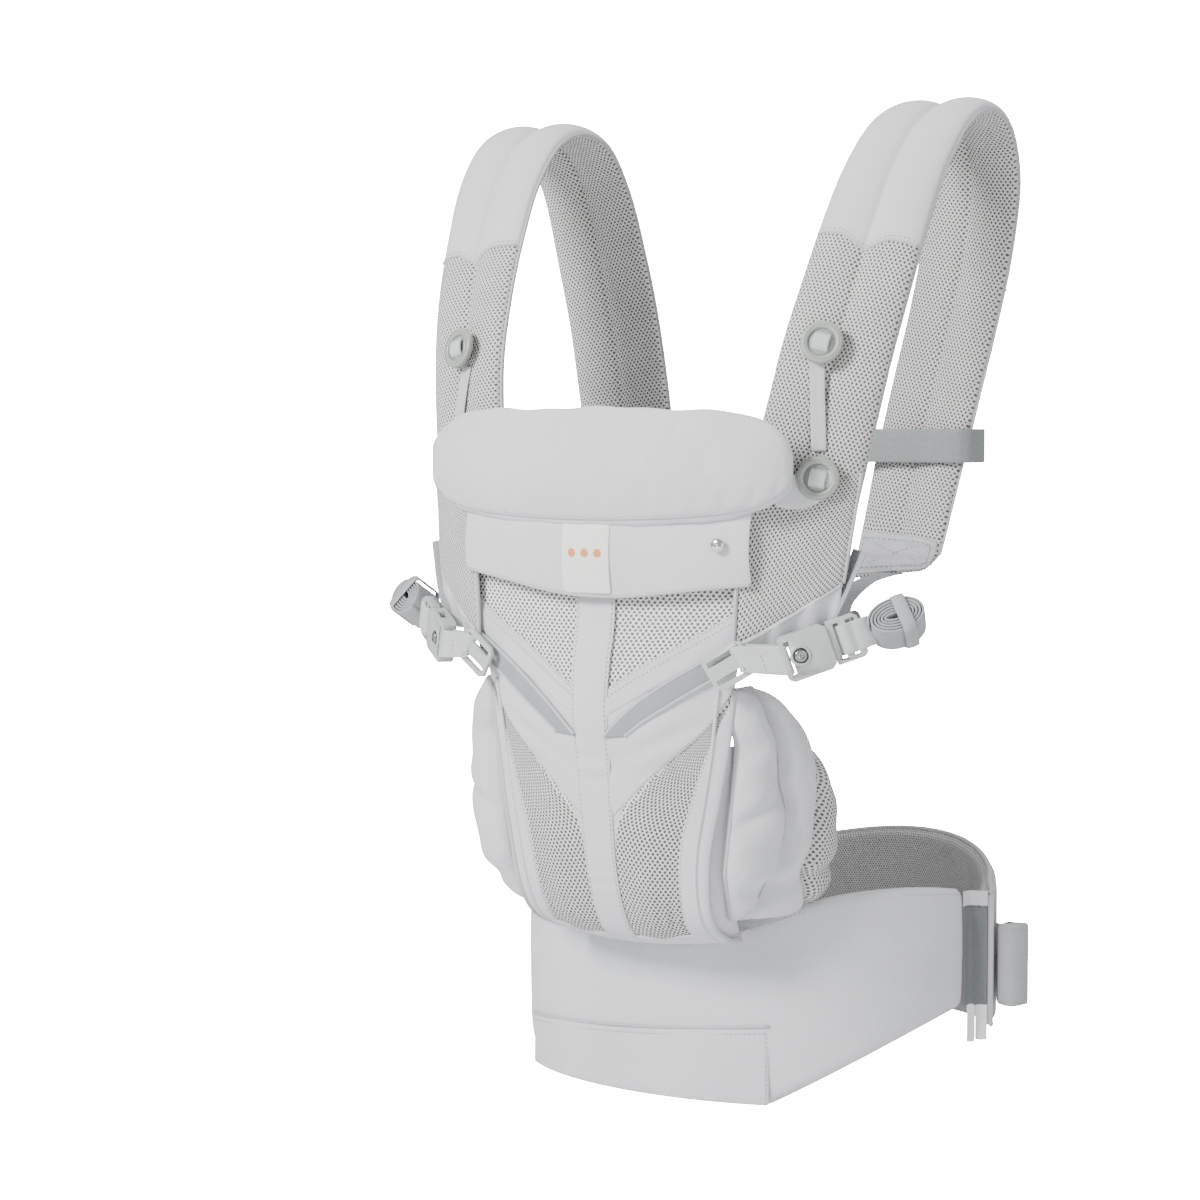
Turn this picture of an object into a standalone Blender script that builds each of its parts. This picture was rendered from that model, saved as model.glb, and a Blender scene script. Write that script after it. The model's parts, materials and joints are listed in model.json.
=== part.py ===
"""Soft baby carrier: waist belt, seat panel, leg pads, folded head pillow, shoulder straps and buckles.

Frame: +Z up, metres. The origin is the centre of the waist ring, level with the belt's lower edge.
The seat panel faces -Y, away from the wearer, and +X is the side of the wearer's left shoulder.
"""

import math

import bmesh
import bpy
from mathutils import Matrix, Vector

MM = 0.001
GAP = 0.3 * MM

# Waist ring: an ellipse that the belt's inner face follows. Angles are measured from the front, towards +X.
RING_HALF_WIDTH = 164 * MM
RING_HALF_DEPTH = 113 * MM
BELT_TURN = -10.0
BELT_HALF_ARC = 106.0
BELT_FRONT_TOP = 118 * MM
BELT_WING_TOP = 153 * MM
BELT_WING_RISE = 62 * MM
POCKET_HALF_ARC = 36.0
POCKET_TOP = 60 * MM
LUMBAR_ARC = (97.0, 199.0)
WEB_WAIST = 40 * MM
WEB_NARROW = 25 * MM

# Seat panel: rows of (centre Y, centre Z, edge Y, edge Z, half width), from the top edge to the belt.
PANEL_ROWS = [
    (-198, 491, -191, 490, 117),
    (-204, 425, -192, 425, 118),
    (-207, 385, -191, 385, 117),
    (-209, 350, -193, 352, 112),
    (-215, 320, -192, 322, 104),
    (-217, 290, -190, 292, 99),
    (-212, 255, -189, 257, 95),
    (-207, 215, -190, 217, 91),
    (-201, 180, -189, 182, 87),
    (-192, 152, -184, 158, 84),
    (-180, 133, -174, 142, 81),
    (-163, 124, -160, 133, 78),
    (-145, 122, -145, 128, 75),
    (-126, 123, -126, 126, 73),
]
PANEL_COLUMNS = 8

# Shoulder strap, from the wing over the shoulder.
# Each row: X, Y, Z, the turn of its width about Z in degrees, half its width.
STRAP_ROWS = [
    (112, -166, 352, 20, 10),
    (122, -164, 376, 20, 24),
    (130, -163, 402, 20, 35),
    (140, -160, 455, 19, 38),
    (148, -153, 500, 18, 38),
    (154, -144, 540, 17, 38),
    (160, -128, 585, 13, 38),
    (164, -110, 625, 10, 38),
    (168, -86, 668, 6, 38),
    (171, -55, 700, 3, 38),
    (172, -20, 712, 0, 38),
    (171, 14, 702, -2, 38),
    (168, 36, 668, -4, 38),
    (160, 44, 620, -6, 38),
    (149, 45, 570, -6, 38),
    (136, 40, 510, -6, 38),
    (124, 34, 450, -6, 37),
    (112, 28, 383, -6, 34),
]
STRAP_FOAM_HALF = 6.6 * MM
STRAP_SKIN = 2.4 * MM

# Head pillow, folded down in front of the hood pocket.
PILLOW_HALF_WIDTH = 149 * MM
PILLOW_FRONT_Y = -229 * MM
PILLOW_END_SWEEP = 30 * MM
PILLOW_AXIS = (0.0, -212 * MM, 500 * MM)

GUIDE_CENTRE = Vector((103, -199.5, 326)) * MM
TAPE_TIP = Vector((24, -222, 277)) * MM
CHEST_HEIGHT = 474 * MM
CHEST_FACE_Y = 20 * MM

# Side buckles: where the female half starts, and the way it points.
BUCKLE_START = Vector((140, -193, 330)) * MM
BUCKLE_WAY = Vector((0.76, 0.56, 0.33))

COLOURS = {
    "fabric": ((0.62, 0.63, 0.65), 0.85),
    "mesh": ((0.52, 0.51, 0.51), 0.9),
    "foam": ((0.80, 0.80, 0.78), 0.95),
    "webbing": ((0.46, 0.47, 0.47), 0.75),
    "dark_webbing": ((0.22, 0.23, 0.24), 0.75),
    "plastic": ((0.45, 0.47, 0.45), 0.45),
    "label": ((0.85, 0.84, 0.80), 0.8),
    "metal": ((0.60, 0.60, 0.60), 0.3),
}
SIDE_NAME = {1: "left_shoulder", -1: "right_shoulder"}


def clear_scene():
    for thing in list(bpy.data.objects):
        bpy.data.objects.remove(thing, do_unlink=True)


def material(kind, name):
    colour, roughness = COLOURS[kind]
    made = bpy.data.materials.new(name)
    made.use_nodes = True
    shader = made.node_tree.nodes["Principled BSDF"]
    shader.inputs["Base Color"].default_value = (*colour, 1.0)
    shader.inputs["Roughness"].default_value = roughness
    shader.inputs["Metallic"].default_value = 1.0 if kind == "metal" else 0.0
    return made


def add_object(name, kind, bm, origin=(0.0, 0.0, 0.0)):
    """Links the bmesh as a named object, with its origin at the given point."""
    bm.normal_update()
    bmesh.ops.recalc_face_normals(bm, faces=bm.faces)
    bm.transform(Matrix.Translation(-Vector(origin)))
    mesh = bpy.data.meshes.new(name)
    bm.to_mesh(mesh)
    bm.free()
    made = bpy.data.objects.new(name, mesh)
    made.location = origin
    mesh.materials.append(material(kind, name))
    bpy.context.scene.collection.objects.link(made)
    return made


def loft(name, kind, rings, origin=(0.0, 0.0, 0.0)):
    """A closed solid through rings of equally many points, with a fan over each end."""
    bm = bmesh.new()
    verts = [[bm.verts.new(p) for p in ring] for ring in rings]
    count = len(rings[0])
    for low, high in zip(verts, verts[1:]):
        for i in range(count):
            j = (i + 1) % count
            bm.faces.new((low[i], low[j], high[j]))
            bm.faces.new((low[i], high[j], high[i]))
    for ring in (verts[0], verts[-1]):
        for i in range(1, count - 1):
            bm.faces.new((ring[0], ring[i], ring[i + 1]))
    return add_object(name, kind, bm, origin)


def layer(name, kind, near, far, origin=(0.0, 0.0, 0.0)):
    """A closed sheet between two grids of points, near[row][column] and far[row][column]."""
    rings = []
    for a, b in zip(near, far):
        rings.append(list(a) + list(reversed(b)))
    bm = bmesh.new()
    verts = [[bm.verts.new(p) for p in ring] for ring in rings]
    count, width = len(rings[0]), len(near[0])
    for low, high in zip(verts, verts[1:]):
        for i in range(count):
            j = (i + 1) % count
            if i < width:
                bm.faces.new((low[i], low[j], high[j]))
                bm.faces.new((low[i], high[j], high[i]))
            else:
                bm.faces.new((low[i], low[j], high[i]))
                bm.faces.new((low[j], high[j], high[i]))
    for ring in (verts[0], verts[-1]):
        for i in range(width - 1):
            back = count - 1 - i
            bm.faces.new((ring[i], ring[i + 1], ring[back - 1]))
            bm.faces.new((ring[i], ring[back - 1], ring[back]))
    return add_object(name, kind, bm, origin)


def frame_matrix(origin, along, across):
    """Local X runs along, local Y across, made square to it, and local Z is what is left."""
    x = Vector(along).normalized()
    y = Vector(across)
    y = (y - y.dot(x) * x).normalized()
    z = x.cross(y)
    return Matrix.Translation(Vector(origin)) @ Matrix((x, y, z)).transposed().to_4x4()


def outline_solid(name, kind, outline, half_thickness, place, cuts=(), origin=(0.0, 0.0, 0.0)):
    """A flat plate of that outline, placed by a matrix, with boxes (centre, size) cut from it."""
    bm = bmesh.new()
    bottom = [bm.verts.new((x, y, -half_thickness)) for x, y in outline]
    face = bm.faces.new(bottom)
    made = bmesh.ops.extrude_face_region(bm, geom=[face])
    moved = [v for v in made["geom"] if isinstance(v, bmesh.types.BMVert)]
    bmesh.ops.translate(bm, verts=moved, vec=(0, 0, 2 * half_thickness))
    bm.transform(place)
    plate = add_object(name, kind, bm, origin)
    for index, (centre, size) in enumerate(cuts):
        cut_box(plate, f"{name}_cut_{index}", place, centre, size)
    return plate


def cut_box(target, name, place, centre, size):
    bm = bmesh.new()
    bmesh.ops.create_cube(bm, size=1.0)
    bmesh.ops.scale(bm, vec=size, verts=bm.verts)
    bmesh.ops.translate(bm, vec=centre, verts=bm.verts)
    bm.transform(place)
    cutter = add_object(name, "foam", bm)
    cutter.hide_render = True
    cutter.display_type = "WIRE"
    boolean = target.modifiers.new("cut", "BOOLEAN")
    boolean.operation = "DIFFERENCE"
    boolean.object = cutter


def ribbon(name, kind, path, across, widths, thickness, origin=(0.0, 0.0, 0.0)):
    """A flat band along a path. across gives its width direction at each point, widths its width there."""
    rings = []
    for i, point in enumerate(path):
        ahead = path[min(i + 1, len(path) - 1)] - path[max(i - 1, 0)]
        side = across[i].normalized()
        out = ahead.cross(side).normalized()
        half, thick = side * widths[i] / 2, out * thickness / 2
        rings.append([point - half - thick, point + half - thick, point + half + thick, point - half + thick])
    return loft(name, kind, rings, origin)


def smooth(points, steps):
    """Catmull-Rom through the points, with that many steps between each pair."""
    ends = [points[0] * 2 - points[1]] + list(points) + [points[-1] * 2 - points[-2]]
    found = []
    for i in range(1, len(ends) - 2):
        a, b, c, d = ends[i - 1 : i + 3]
        for k in range(steps):
            t = k / steps
            bend = (2 * a - 5 * b + 4 * c - d) * t**2 + (3 * b - a - 3 * c + d) * t**3
            found.append(0.5 * (2 * b + (c - a) * t + bend))
    return found + [points[-1]]


# ---------------------------------------------------------------- waist belt


def ring_point(angle, out, height):
    """A point outside the waist ring's inner ellipse, at that distance along the ellipse's normal."""
    turn = math.radians(angle)
    foot = Vector((RING_HALF_WIDTH * math.sin(turn), -RING_HALF_DEPTH * math.cos(turn), height))
    normal = Vector((math.sin(turn) / RING_HALF_WIDTH, -math.cos(turn) / RING_HALF_DEPTH, 0)).normalized()
    return foot + normal * out


def belt_edges(angle):
    """The belt's lower and upper edge at an angle: deep in front, and cut up from below towards the ends."""
    away = abs(angle - BELT_TURN)
    low = BELT_WING_RISE * math.sin(math.pi / 2 * max(0.0, (away - 38.0) / 68.0))
    share = min(1.0, max(0.0, (away - 18.0) / 46.0))
    return low, BELT_FRONT_TOP + (BELT_WING_TOP - BELT_FRONT_TOP) * share


def ring_layer(name, kind, angles, inner, outer, edges):
    grids = []
    for out in (inner, outer):
        grids.append([[ring_point(a, out, edges(a)[row]) for a in angles] for row in (0, 1)])
    return layer(name, kind, *grids)


def spread(low, high, count):
    return [low + (high - low) * i / (count - 1) for i in range(count)]


def build_belt():
    ends = (BELT_TURN - BELT_HALF_ARC, BELT_TURN + BELT_HALF_ARC)
    arc = spread(*ends, 28)
    ring_layer("belt_lining", "mesh", arc, 0.0, 2.4 * MM, belt_edges)
    ring_layer("belt_foam", "foam", arc, 2.7 * MM, 11.5 * MM, belt_edges)
    ring_layer("belt_cover", "fabric", arc, 12.0 * MM, 14.0 * MM, belt_edges)
    pocket_arc = spread(BELT_TURN - POCKET_HALF_ARC, BELT_TURN + POCKET_HALF_ARC, 10)
    ring_layer("belt_pocket", "fabric", pocket_arc, 14.6 * MM, 16.2 * MM, lambda a: (3 * MM, POCKET_TOP))
    strip_arc = spread(ends[1] - 3.4, ends[1] + 1.4, 3)
    strip_edges = (62 * MM, 120 * MM)
    ring_layer("belt_end_strip", "dark_webbing", strip_arc, 14.6 * MM, 15.8 * MM, lambda a: strip_edges)


def lumbar_edges(angle):
    middle = sum(LUMBAR_ARC) / 2
    bow = math.cos(math.radians(min(90.0, abs(angle - middle) * 1.5)))
    return 54 * MM - 14 * MM * bow, 138 * MM + 36 * MM * bow


def build_lumbar():
    arc = spread(*LUMBAR_ARC, 12)
    ring_layer("lumbar_mesh", "mesh", arc, 20.0 * MM, 22.4 * MM, lumbar_edges)
    ring_layer("lumbar_foam", "foam", arc, 22.7 * MM, 34.0 * MM, lumbar_edges)


def build_waist_webbing():
    """The wide loop that stands out beside the belt's end, then the webbing over the lumbar pad."""
    middle = 95 * MM
    start = ring_point(90.0, 17.0 * MM, middle)
    tip = Vector((216 * MM, 33 * MM, middle))
    path = [start, ring_point(94.0, 19.5 * MM, middle) + Vector((18 * MM, 0, 0)), tip]
    path += [tip + Vector((-1, 5, 0)) * MM, ring_point(102.0, 38.5 * MM, middle) + Vector((4, 3, 0)) * MM]
    path += [ring_point(a, 36.4 * MM, middle) for a in spread(112.0, 196.0, 9)]
    widths = [62 * MM] * 5 + [46 * MM] + [WEB_WAIST] * 8
    ribbon("waist_webbing", "webbing", path, [Vector((0, 0, 1))] * len(path), widths, 2.0 * MM)
    return path[-1]


# ---------------------------------------------------------------- buckles


def buckle(names, origin, along, across, size):
    """A side-release pair. The female half runs along +X, and the male half leaves it that way."""
    place = frame_matrix(origin, along, across)

    def scaled(points):
        return [(x * size * MM, y * size * MM) for x, y in points]

    def box(centre, sides):
        return Vector(centre) * size * MM, Vector(sides) * size * MM

    female = [(0, -14), (3, -16), (30, -16), (34, -13), (34, 13), (30, 16), (3, 16), (0, 14)]
    female_cuts = [
        box((24, 0, 0), (28, 25, 7.2)),
        box((17, 15, 0), (11, 8, 6.0)),
        box((17, -15, 0), (11, 8, 6.0)),
        box((5, 0, 0), (3.6, 24, 20)),
    ]
    outline_solid(names[0], "plastic", scaled(female), 5.5 * size * MM, place, female_cuts, origin)
    half = [(57, 13), (54, 15.5), (35, 15.5), (35, 12), (15, 12), (13, 9), (15, 7), (33, 7), (33, 3), (16, 3)]
    male = half + [(x, -y) for x, y in reversed(half)]
    male_cuts = [box((41, 0, 0), (4, 25, 20)), box((50, 0, 0), (4, 25, 20))]
    outline_solid(names[1], "plastic", scaled(male), 3.2 * size * MM, place, male_cuts, origin)
    return place


def build_waist_buckle(web_end):
    """The belt's own buckle, between its far end and the lumbar pad, and the webbing on both sides of it."""
    size, middle = 1.35, 95 * MM
    at = ring_point(-119.0, 21.0 * MM, middle)
    ahead = ring_point(-149.0, 29.0 * MM, middle) - at
    place = buckle(("waist_buckle_female", "waist_buckle_male"), at, ahead, (0, 0, 1), size)
    up = Vector((0, 0, 1))
    short = [ring_point(a, out * MM, middle) for a, out in ((-104, 15.6), (-112, 15.8))]
    short.append(place @ Vector((-1.2 * MM, 0, 0)))
    ribbon("waist_webbing_short", "webbing", short, [up] * 3, [WEB_WAIST] * 3, 1.8 * MM)
    rear = place @ Vector((58.4 * size * MM, 0, 0))
    path = [rear, rear.lerp(web_end, 0.5) + Vector((-3, 7, 0)) * MM, web_end + Vector((-1.5, 3.5, 0)) * MM]
    ribbon("waist_webbing_end", "webbing", path, [up] * 3, [WEB_WAIST] * 3, 1.8 * MM)


# ---------------------------------------------------------------- seat panel


def panel_profile(row):
    """Centre and edge of the panel at a row, which may lie between two rows, and the half width there."""
    low = min(int(row), len(PANEL_ROWS) - 2)
    share = row - low
    a, b = PANEL_ROWS[low], PANEL_ROWS[low + 1]
    return [(p + (q - p) * share) * MM for p, q in zip(a, b)]


def panel_point(row, across, out):
    """A point of the seat panel: row counts down from the top edge, across runs from -1 to 1."""
    cy, cz, ey, ez, half = panel_profile(row)
    before, after = panel_profile(max(row - 0.5, 0)), panel_profile(min(row + 0.5, len(PANEL_ROWS) - 1.001))
    normal = Vector((0, after[1] - before[1], before[0] - after[0])).normalized()
    bend = across * across
    return Vector((across * half, cy + (ey - cy) * bend, cz + (ez - cz) * bend)) + normal * out


def panel_layer(name, kind, rows, left, right, columns, inner, outer):
    """A patch of the panel. left and right give its two sides at a row, in the panel's own width units."""
    grids = []
    for out in (inner, outer):
        grids.append([[panel_point(r, a, out) for a in spread(left(r), right(r), columns)] for r in rows])
    return layer(name, kind, *grids)


def build_panel():
    rows = list(range(len(PANEL_ROWS)))
    columns = PANEL_COLUMNS + 1
    panel_layer("panel_lining", "mesh", rows, lambda r: -1, lambda r: 1, columns, -2.2 * MM, 0.0)
    panel_layer("panel_front", "fabric", rows, lambda r: -1, lambda r: 1, columns, 0.4 * MM, 2.0 * MM)
    on_top, top_face = 3.3 * MM, 4.4 * MM
    for side, word in SIDE_NAME.items():
        def ordered(inner, outer, side=side):
            return (inner, outer) if side > 0 else (lambda r: -outer(r), lambda r: -inner(r))

        window = ordered(lambda r: 0.15, lambda r: 0.93 - 0.69 * (r - 2.4) / 2.4)
        panel_layer(f"mesh_window_upper_{word}", "mesh", [2.4, 3.0, 4.0, 4.8], *window, 4, on_top, top_face)
        window = ordered(lambda r: max(0.17, 0.78 - 0.61 * (r - 5.2) / 2.6), lambda r: 0.93)
        rows = [5.2, 6, 7, 8, 9, 10]
        panel_layer(f"mesh_window_lower_{word}", "mesh", rows, *window, 4, on_top, top_face)
    rows = [1.6, 2, 3, 4, 5, 6, 7, 8, 9, 10, 11]
    panel_layer("centre_strip", "fabric", rows, lambda r: -0.13, lambda r: 0.13, 3, 2.9 * MM, 4.6 * MM)


def build_tapes_and_guides():
    """The tapes that run down to the middle of the panel, the sliding guides on them, and their web loops."""
    for side, word in SIDE_NAME.items():
        flip = Vector((side, 1, 1))
        tip, guide = TAPE_TIP * flip, GUIDE_CENTRE * flip
        tape_end = Vector((118 * side, -195, 336)) * MM
        along = (tape_end - tip).normalized()
        face = Vector((0.30 * side, -0.95, 0))
        across = face.cross(along).normalized()
        tape = [tip.lerp(tape_end, s) + Vector((0, -3.2, 0)) * MM for s in (0.0, 0.25, 0.5, 0.75, 1.0)]
        ribbon(f"v_tape_{word}", "webbing", tape, [across] * 5, [14 * MM] * 5, 1.6 * MM)
        place = frame_matrix(guide + face * 7.0 * MM, along, across)
        plate = [(-16, -10), (-12, -13), (12, -13), (16, -10), (16, 10), (12, 13), (-12, 13), (-16, 10)]
        plate = [(x * MM, y * MM) for x, y in plate]
        slots = [(Vector((0, y, 0)) * MM, Vector((25, 4, 12)) * MM) for y in (7, -7)]
        outline_solid(f"guide_{word}", "plastic", plate, 1.5 * MM, place, slots, place.translation)
        start, way = BUCKLE_START * flip, (BUCKLE_WAY * flip).normalized()
        upright = (Vector((0, 0, 1)) - way.z * way).normalized()
        loop = [guide + face * 11.8 * MM + along * 8 * MM, guide + face * 12.2 * MM + along * 20 * MM]
        loop.append(start - way * 1.2 * MM)
        widths = [WEB_NARROW] * 3
        ribbon(f"guide_loop_{word}", "webbing", loop, [upright] * 3, widths, 1.8 * MM, place.translation)
        names = (f"side_buckle_female_{word}", f"side_buckle_male_{word}")
        place = buckle(names, start, way, upright * side, 1.0)
        build_release_button(side, word, place)
        build_web_roll(side, word, place)
        build_side_webbing(side, word, place)


def build_release_button(side, word, place):
    """The press button in the outer wall of a side buckle, in a hole of its own."""
    female = bpy.data.objects[f"side_buckle_female_{word}"]
    hole_centre, hole_size = Vector((12, 0, 6)) * MM, Vector((9.8, 9.8, 6)) * MM
    cut_box(female, f"side_buckle_female_{word}_button_hole", place, hole_centre, hole_size)
    centre = place @ Vector((12 * MM, 0, 6.6 * MM)) / MM
    out = place.to_3x3() @ Vector((0, 0, 1))
    across = place.to_3x3() @ Vector((1, 0, 0))
    profile = [(0, -1.2), (4.4, -1.2), (4.4, 0.6), (3.4, 1.4), (0, 1.1)]
    lathe(f"release_button_{word}", "metal", profile, centre, out, 12, (), across)


def build_web_roll(side, word, place):
    """The strap's spare webbing, rolled up beyond the adjuster, as the outer shape of the roll."""
    rings = []
    for depth in (-12.5, 12.5):
        ring = []
        for i in range(16):
            turn = 2 * math.pi * i / 16
            across = Vector((82 + 21 * math.cos(turn), 15 * math.sin(turn) - 2 * side, depth))
            ring.append(place @ (across * MM))
        rings.append(ring)
    loft(f"web_roll_{word}", "webbing", rings, place @ (Vector((82, 0, 0)) * MM))


def build_side_webbing(side, word, place):
    """Webbing from the strap's lower end, forward round the wing's edge and down to the adjuster."""
    flip = Vector((side, 1, 1))
    route = ((118, 24, 374), (144, -40, 373), (164, -105, 377), (171, -140, 377))
    points = [Vector(p) * MM * flip for p in route]
    down = place @ (Vector((53, 0, -6.0)) * MM)
    points += [points[-1].lerp(down, 0.55) + Vector((4 * side, 4, 6)) * MM, down]
    path = smooth(points, 2)
    flat, upright = Vector((side, 0.5, 0)), Vector((0, 0.1, 1))
    across = []
    for i in range(len(path)):
        share = min(1.0, max(0.0, i / (len(path) - 1) * 1.6 - 0.3))
        across.append(flat.lerp(upright, share))
    ribbon(f"side_webbing_{word}", "webbing", path, across, [16 * MM] * len(path), 1.6 * MM)


# ---------------------------------------------------------------- leg pads


LEG_ROWS = [
    (308, 0.16, 2),
    (296, 0.32, 10),
    (276, 0.52, 20),
    (250, 0.74, 28),
    (222, 0.91, 32),
    (195, 1.00, 32),
    (172, 1.00, 28),
    (156, 0.90, 21),
    (144, 0.72, 13),
]


def leg_rings(side):
    """Rings of a padded wall that leaves the panel's edge, bulges outwards and ends behind it."""
    rings = []
    for height, reach, bulge in LEG_ROWS:
        row = 4 + (320 - height) / 35.0 if height > 290 else 5 + (290 - height) / 36.0
        _, _, edge_y, _, half = panel_profile(min(row, 9.5))
        begin = edge_y + 5.5 * MM + max(0.0, 178 - height) * 0.3 * MM
        length = 105 * MM * reach
        outer, inner = [], []
        for i in range(6):
            s = i / 5
            x = half - 2 * MM + bulge * MM * math.sin(math.pi * (0.04 + 0.67 * s))
            y = begin + length * s
            thick = 16 * MM * (0.45 + 0.55 * math.sin(math.pi * min(0.97, max(0.06, s))))
            outer.append(Vector((side * (x + thick / 2), y, height * MM)))
            inner.append(Vector((side * (x - thick / 2), y, height * MM)))
        rings.append(outer + inner[::-1])
    return rings


def build_leg_pads():
    for side, word in SIDE_NAME.items():
        loft(f"leg_pad_{word}", "fabric", leg_rings(side))


# ---------------------------------------------------------------- head pillow and hood pocket


def pillow_edges(across):
    """Lower and upper edge of the pillow, whose ends are rounded."""
    round_end = 1 - math.sqrt(max(0.0, 1 - max(0.0, (abs(across) - 0.8) / 0.2) ** 2))
    return (421 + 9 * across**2 + 22 * round_end) * MM, (501 - 6 * across**2 - 20 * round_end) * MM


def pillow_grid(out):
    rows = []
    for share in (0.0, 0.2, 0.5, 0.8, 1.0):
        row = []
        for across in (-0.99, -0.93, -0.8, -0.5, -0.25, 0, 0.25, 0.5, 0.8, 0.93, 0.99):
            low, high = pillow_edges(across)
            crown = 1 - 0.45 * (2 * share - 1) ** 4
            x = across * PILLOW_HALF_WIDTH
            y = PILLOW_FRONT_Y + PILLOW_END_SWEEP * across**2 - out * crown
            row.append(Vector((x, y, low + (high - low) * share)))
        rows.append(row)
    return rows


def build_pillow():
    axis = PILLOW_AXIS
    layer("pillow_foam", "foam", pillow_grid(-7.5 * MM), pillow_grid(7.5 * MM), axis)
    layer("pillow_front", "fabric", pillow_grid(8.1 * MM), pillow_grid(10.0 * MM), axis)
    layer("pillow_back", "fabric", pillow_grid(-10.0 * MM), pillow_grid(-8.1 * MM), axis)


def build_pillow_tabs():
    """The tabs at the pillow's lower corners, which button on in front of the lower ring buttons."""
    for side, word in SIDE_NAME.items():
        flip = Vector((side, 1, 1))
        route = [(133, -190, 436), (142, -187, 437), (156, -183, 440), (169, -178, 442)]
        path = [Vector(p) * MM * flip for p in route]
        across = [Vector((-0.12 * side, 0, 1))] * len(path)
        widths = [34 * MM, 34 * MM, 32 * MM, 24 * MM]
        ribbon(f"pillow_tab_{word}", "fabric", path, across, widths, 2.0 * MM, PILLOW_AXIS)


def pocket_layer(name, kind, half, low, high, near, far, sag):
    """A band in front of the panel, bowed like it, with a lower edge that sags in the middle."""
    grids = []
    for y in (near, far):
        rows = []
        for share in (0.0, 0.5, 1.0):
            row = []
            for across in (-1, -0.66, -0.33, 0, 0.33, 0.66, 1):
                lower = low - sag * (1 - across**2)
                bow = 14 * MM * (across * half / (118 * MM)) ** 2
                row.append(Vector((across * half, y + bow, lower + (high - lower) * share)))
            rows.append(row)
        grids.append(rows)
    return layer(name, kind, *grids)


def build_hood():
    pocket_layer("hood_folded", "fabric", 104 * MM, 386 * MM, 416 * MM, -212.9 * MM, -218.0 * MM, 4 * MM)
    pocket_layer("hood_pocket", "fabric", 117 * MM, 379 * MM, 418 * MM, -219.0 * MM, -220.4 * MM, 6 * MM)
    label = [(-20, -23), (20, -23), (20, 21), (-20, 21)]
    place = frame_matrix((0, -221.3 * MM, 396 * MM), (1, 0, 0), (0, 0, 1))
    outline_solid("label_patch", "label", [(x * MM, y * MM) for x, y in label], 0.4 * MM, place)
    profile = [(0, 0.2), (4.2, 0.2), (5, 1.2), (3.6, 2.6), (0, 3.2)]
    lathe("hood_snap", "metal", profile, (100, -212.6, 408), (0.2, -1, 0), 12)


def lathe(name, kind, profile, centre, out, segments, cuts=(), across=(1, 0, 0)):
    """A turned solid from (radius, height) pairs, with its axis along out and its origin at the centre."""
    place = frame_matrix(Vector(centre) * MM, across, Vector(out).cross(Vector(across)))
    if (place.to_3x3() @ Vector((0, 0, 1))).dot(Vector(out)) < 0:
        place = place @ Matrix.Diagonal((1, -1, -1, 1))
    bm = bmesh.new()
    verts = [bm.verts.new((r * MM, 0, h * MM)) for r, h in profile]
    edges = [bm.edges.new(pair) for pair in zip(verts, verts[1:])]
    bmesh.ops.spin(bm, geom=verts + edges, axis=(0, 0, 1), cent=(0, 0, 0), steps=segments, angle=2 * math.pi)
    bmesh.ops.remove_doubles(bm, verts=bm.verts, dist=1e-6)
    bm.transform(place)
    made = add_object(name, kind, bm, Vector(centre) * MM)
    for index, (middle, size) in enumerate(cuts):
        cut_box(made, f"{name}_cut_{index}", place, Vector(middle) * MM, Vector(size) * MM)
    return made


# ---------------------------------------------------------------- shoulder straps


def strap_frame(side, row):
    """Centre, width direction, outward normal and half width of a shoulder strap at a row."""
    low = min(int(row), len(STRAP_ROWS) - 2)
    share = row - low
    a, b = STRAP_ROWS[low], STRAP_ROWS[low + 1]
    x, y, z, turn, half = [p + (q - p) * share for p, q in zip(a, b)]
    before, after = STRAP_ROWS[max(low - (share == 0), 0)], STRAP_ROWS[min(low + 1, len(STRAP_ROWS) - 1)]
    tangent = Vector([q - p for p, q in zip(before[:3], after[:3])]).normalized()
    turn = math.radians(turn)
    across = Vector((math.cos(turn), math.sin(turn), 0))
    across = (across - across.dot(tangent) * tangent).normalized()
    out = across.cross(tangent).normalized()
    flip = Vector((side, 1, 1))
    return Vector((x, y, z)) * MM * flip, across * flip, out * flip, half * MM


def strap_layer(name, kind, side, inner, outer):
    grids = []
    for height in (inner, outer):
        rows = []
        for row in range(len(STRAP_ROWS)):
            centre, across, out, half = strap_frame(side, row)
            rows.append([centre + across * half * share + out * height for share in (-1, 1)])
        grids.append(rows)
    return layer(name, kind, *grids)


def strap_surface(side, row, sideways, height):
    centre, across, out, _ = strap_frame(side, row)
    return centre + across * sideways * MM + out * height * MM


def build_straps():
    foam, skin = STRAP_FOAM_HALF, STRAP_SKIN
    for side, word in SIDE_NAME.items():
        strap_layer(f"strap_foam_{word}", "foam", side, -foam, foam)
        strap_layer(f"strap_cover_{word}", "fabric", side, foam + GAP, foam + GAP + skin)
        strap_layer(f"strap_lining_{word}", "mesh", side, -foam - GAP - skin, -foam - GAP)
        for level, row, sideways in (("upper", 5.0, -7.5), ("lower", 3.0, 10.5)):
            _, across, out, _ = strap_frame(side, row)
            centre = strap_surface(side, row, sideways, 17.2) / MM
            half_rim = [(15, 0), (14.3, 2.3), (10.2, 2.6), (9.2, 1.2), (0, 1.2)]
            rim = [(r, -h) for r, h in reversed(half_rim)] + half_rim[1:]
            slots = [((0, 4.2, 0), (12, 2.8, 9)), ((0, -4.2, 0), (12, 2.8, 9))]
            lathe(f"button_{level}_{word}", "plastic", rim, centre, out, 16, slots, across)


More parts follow.
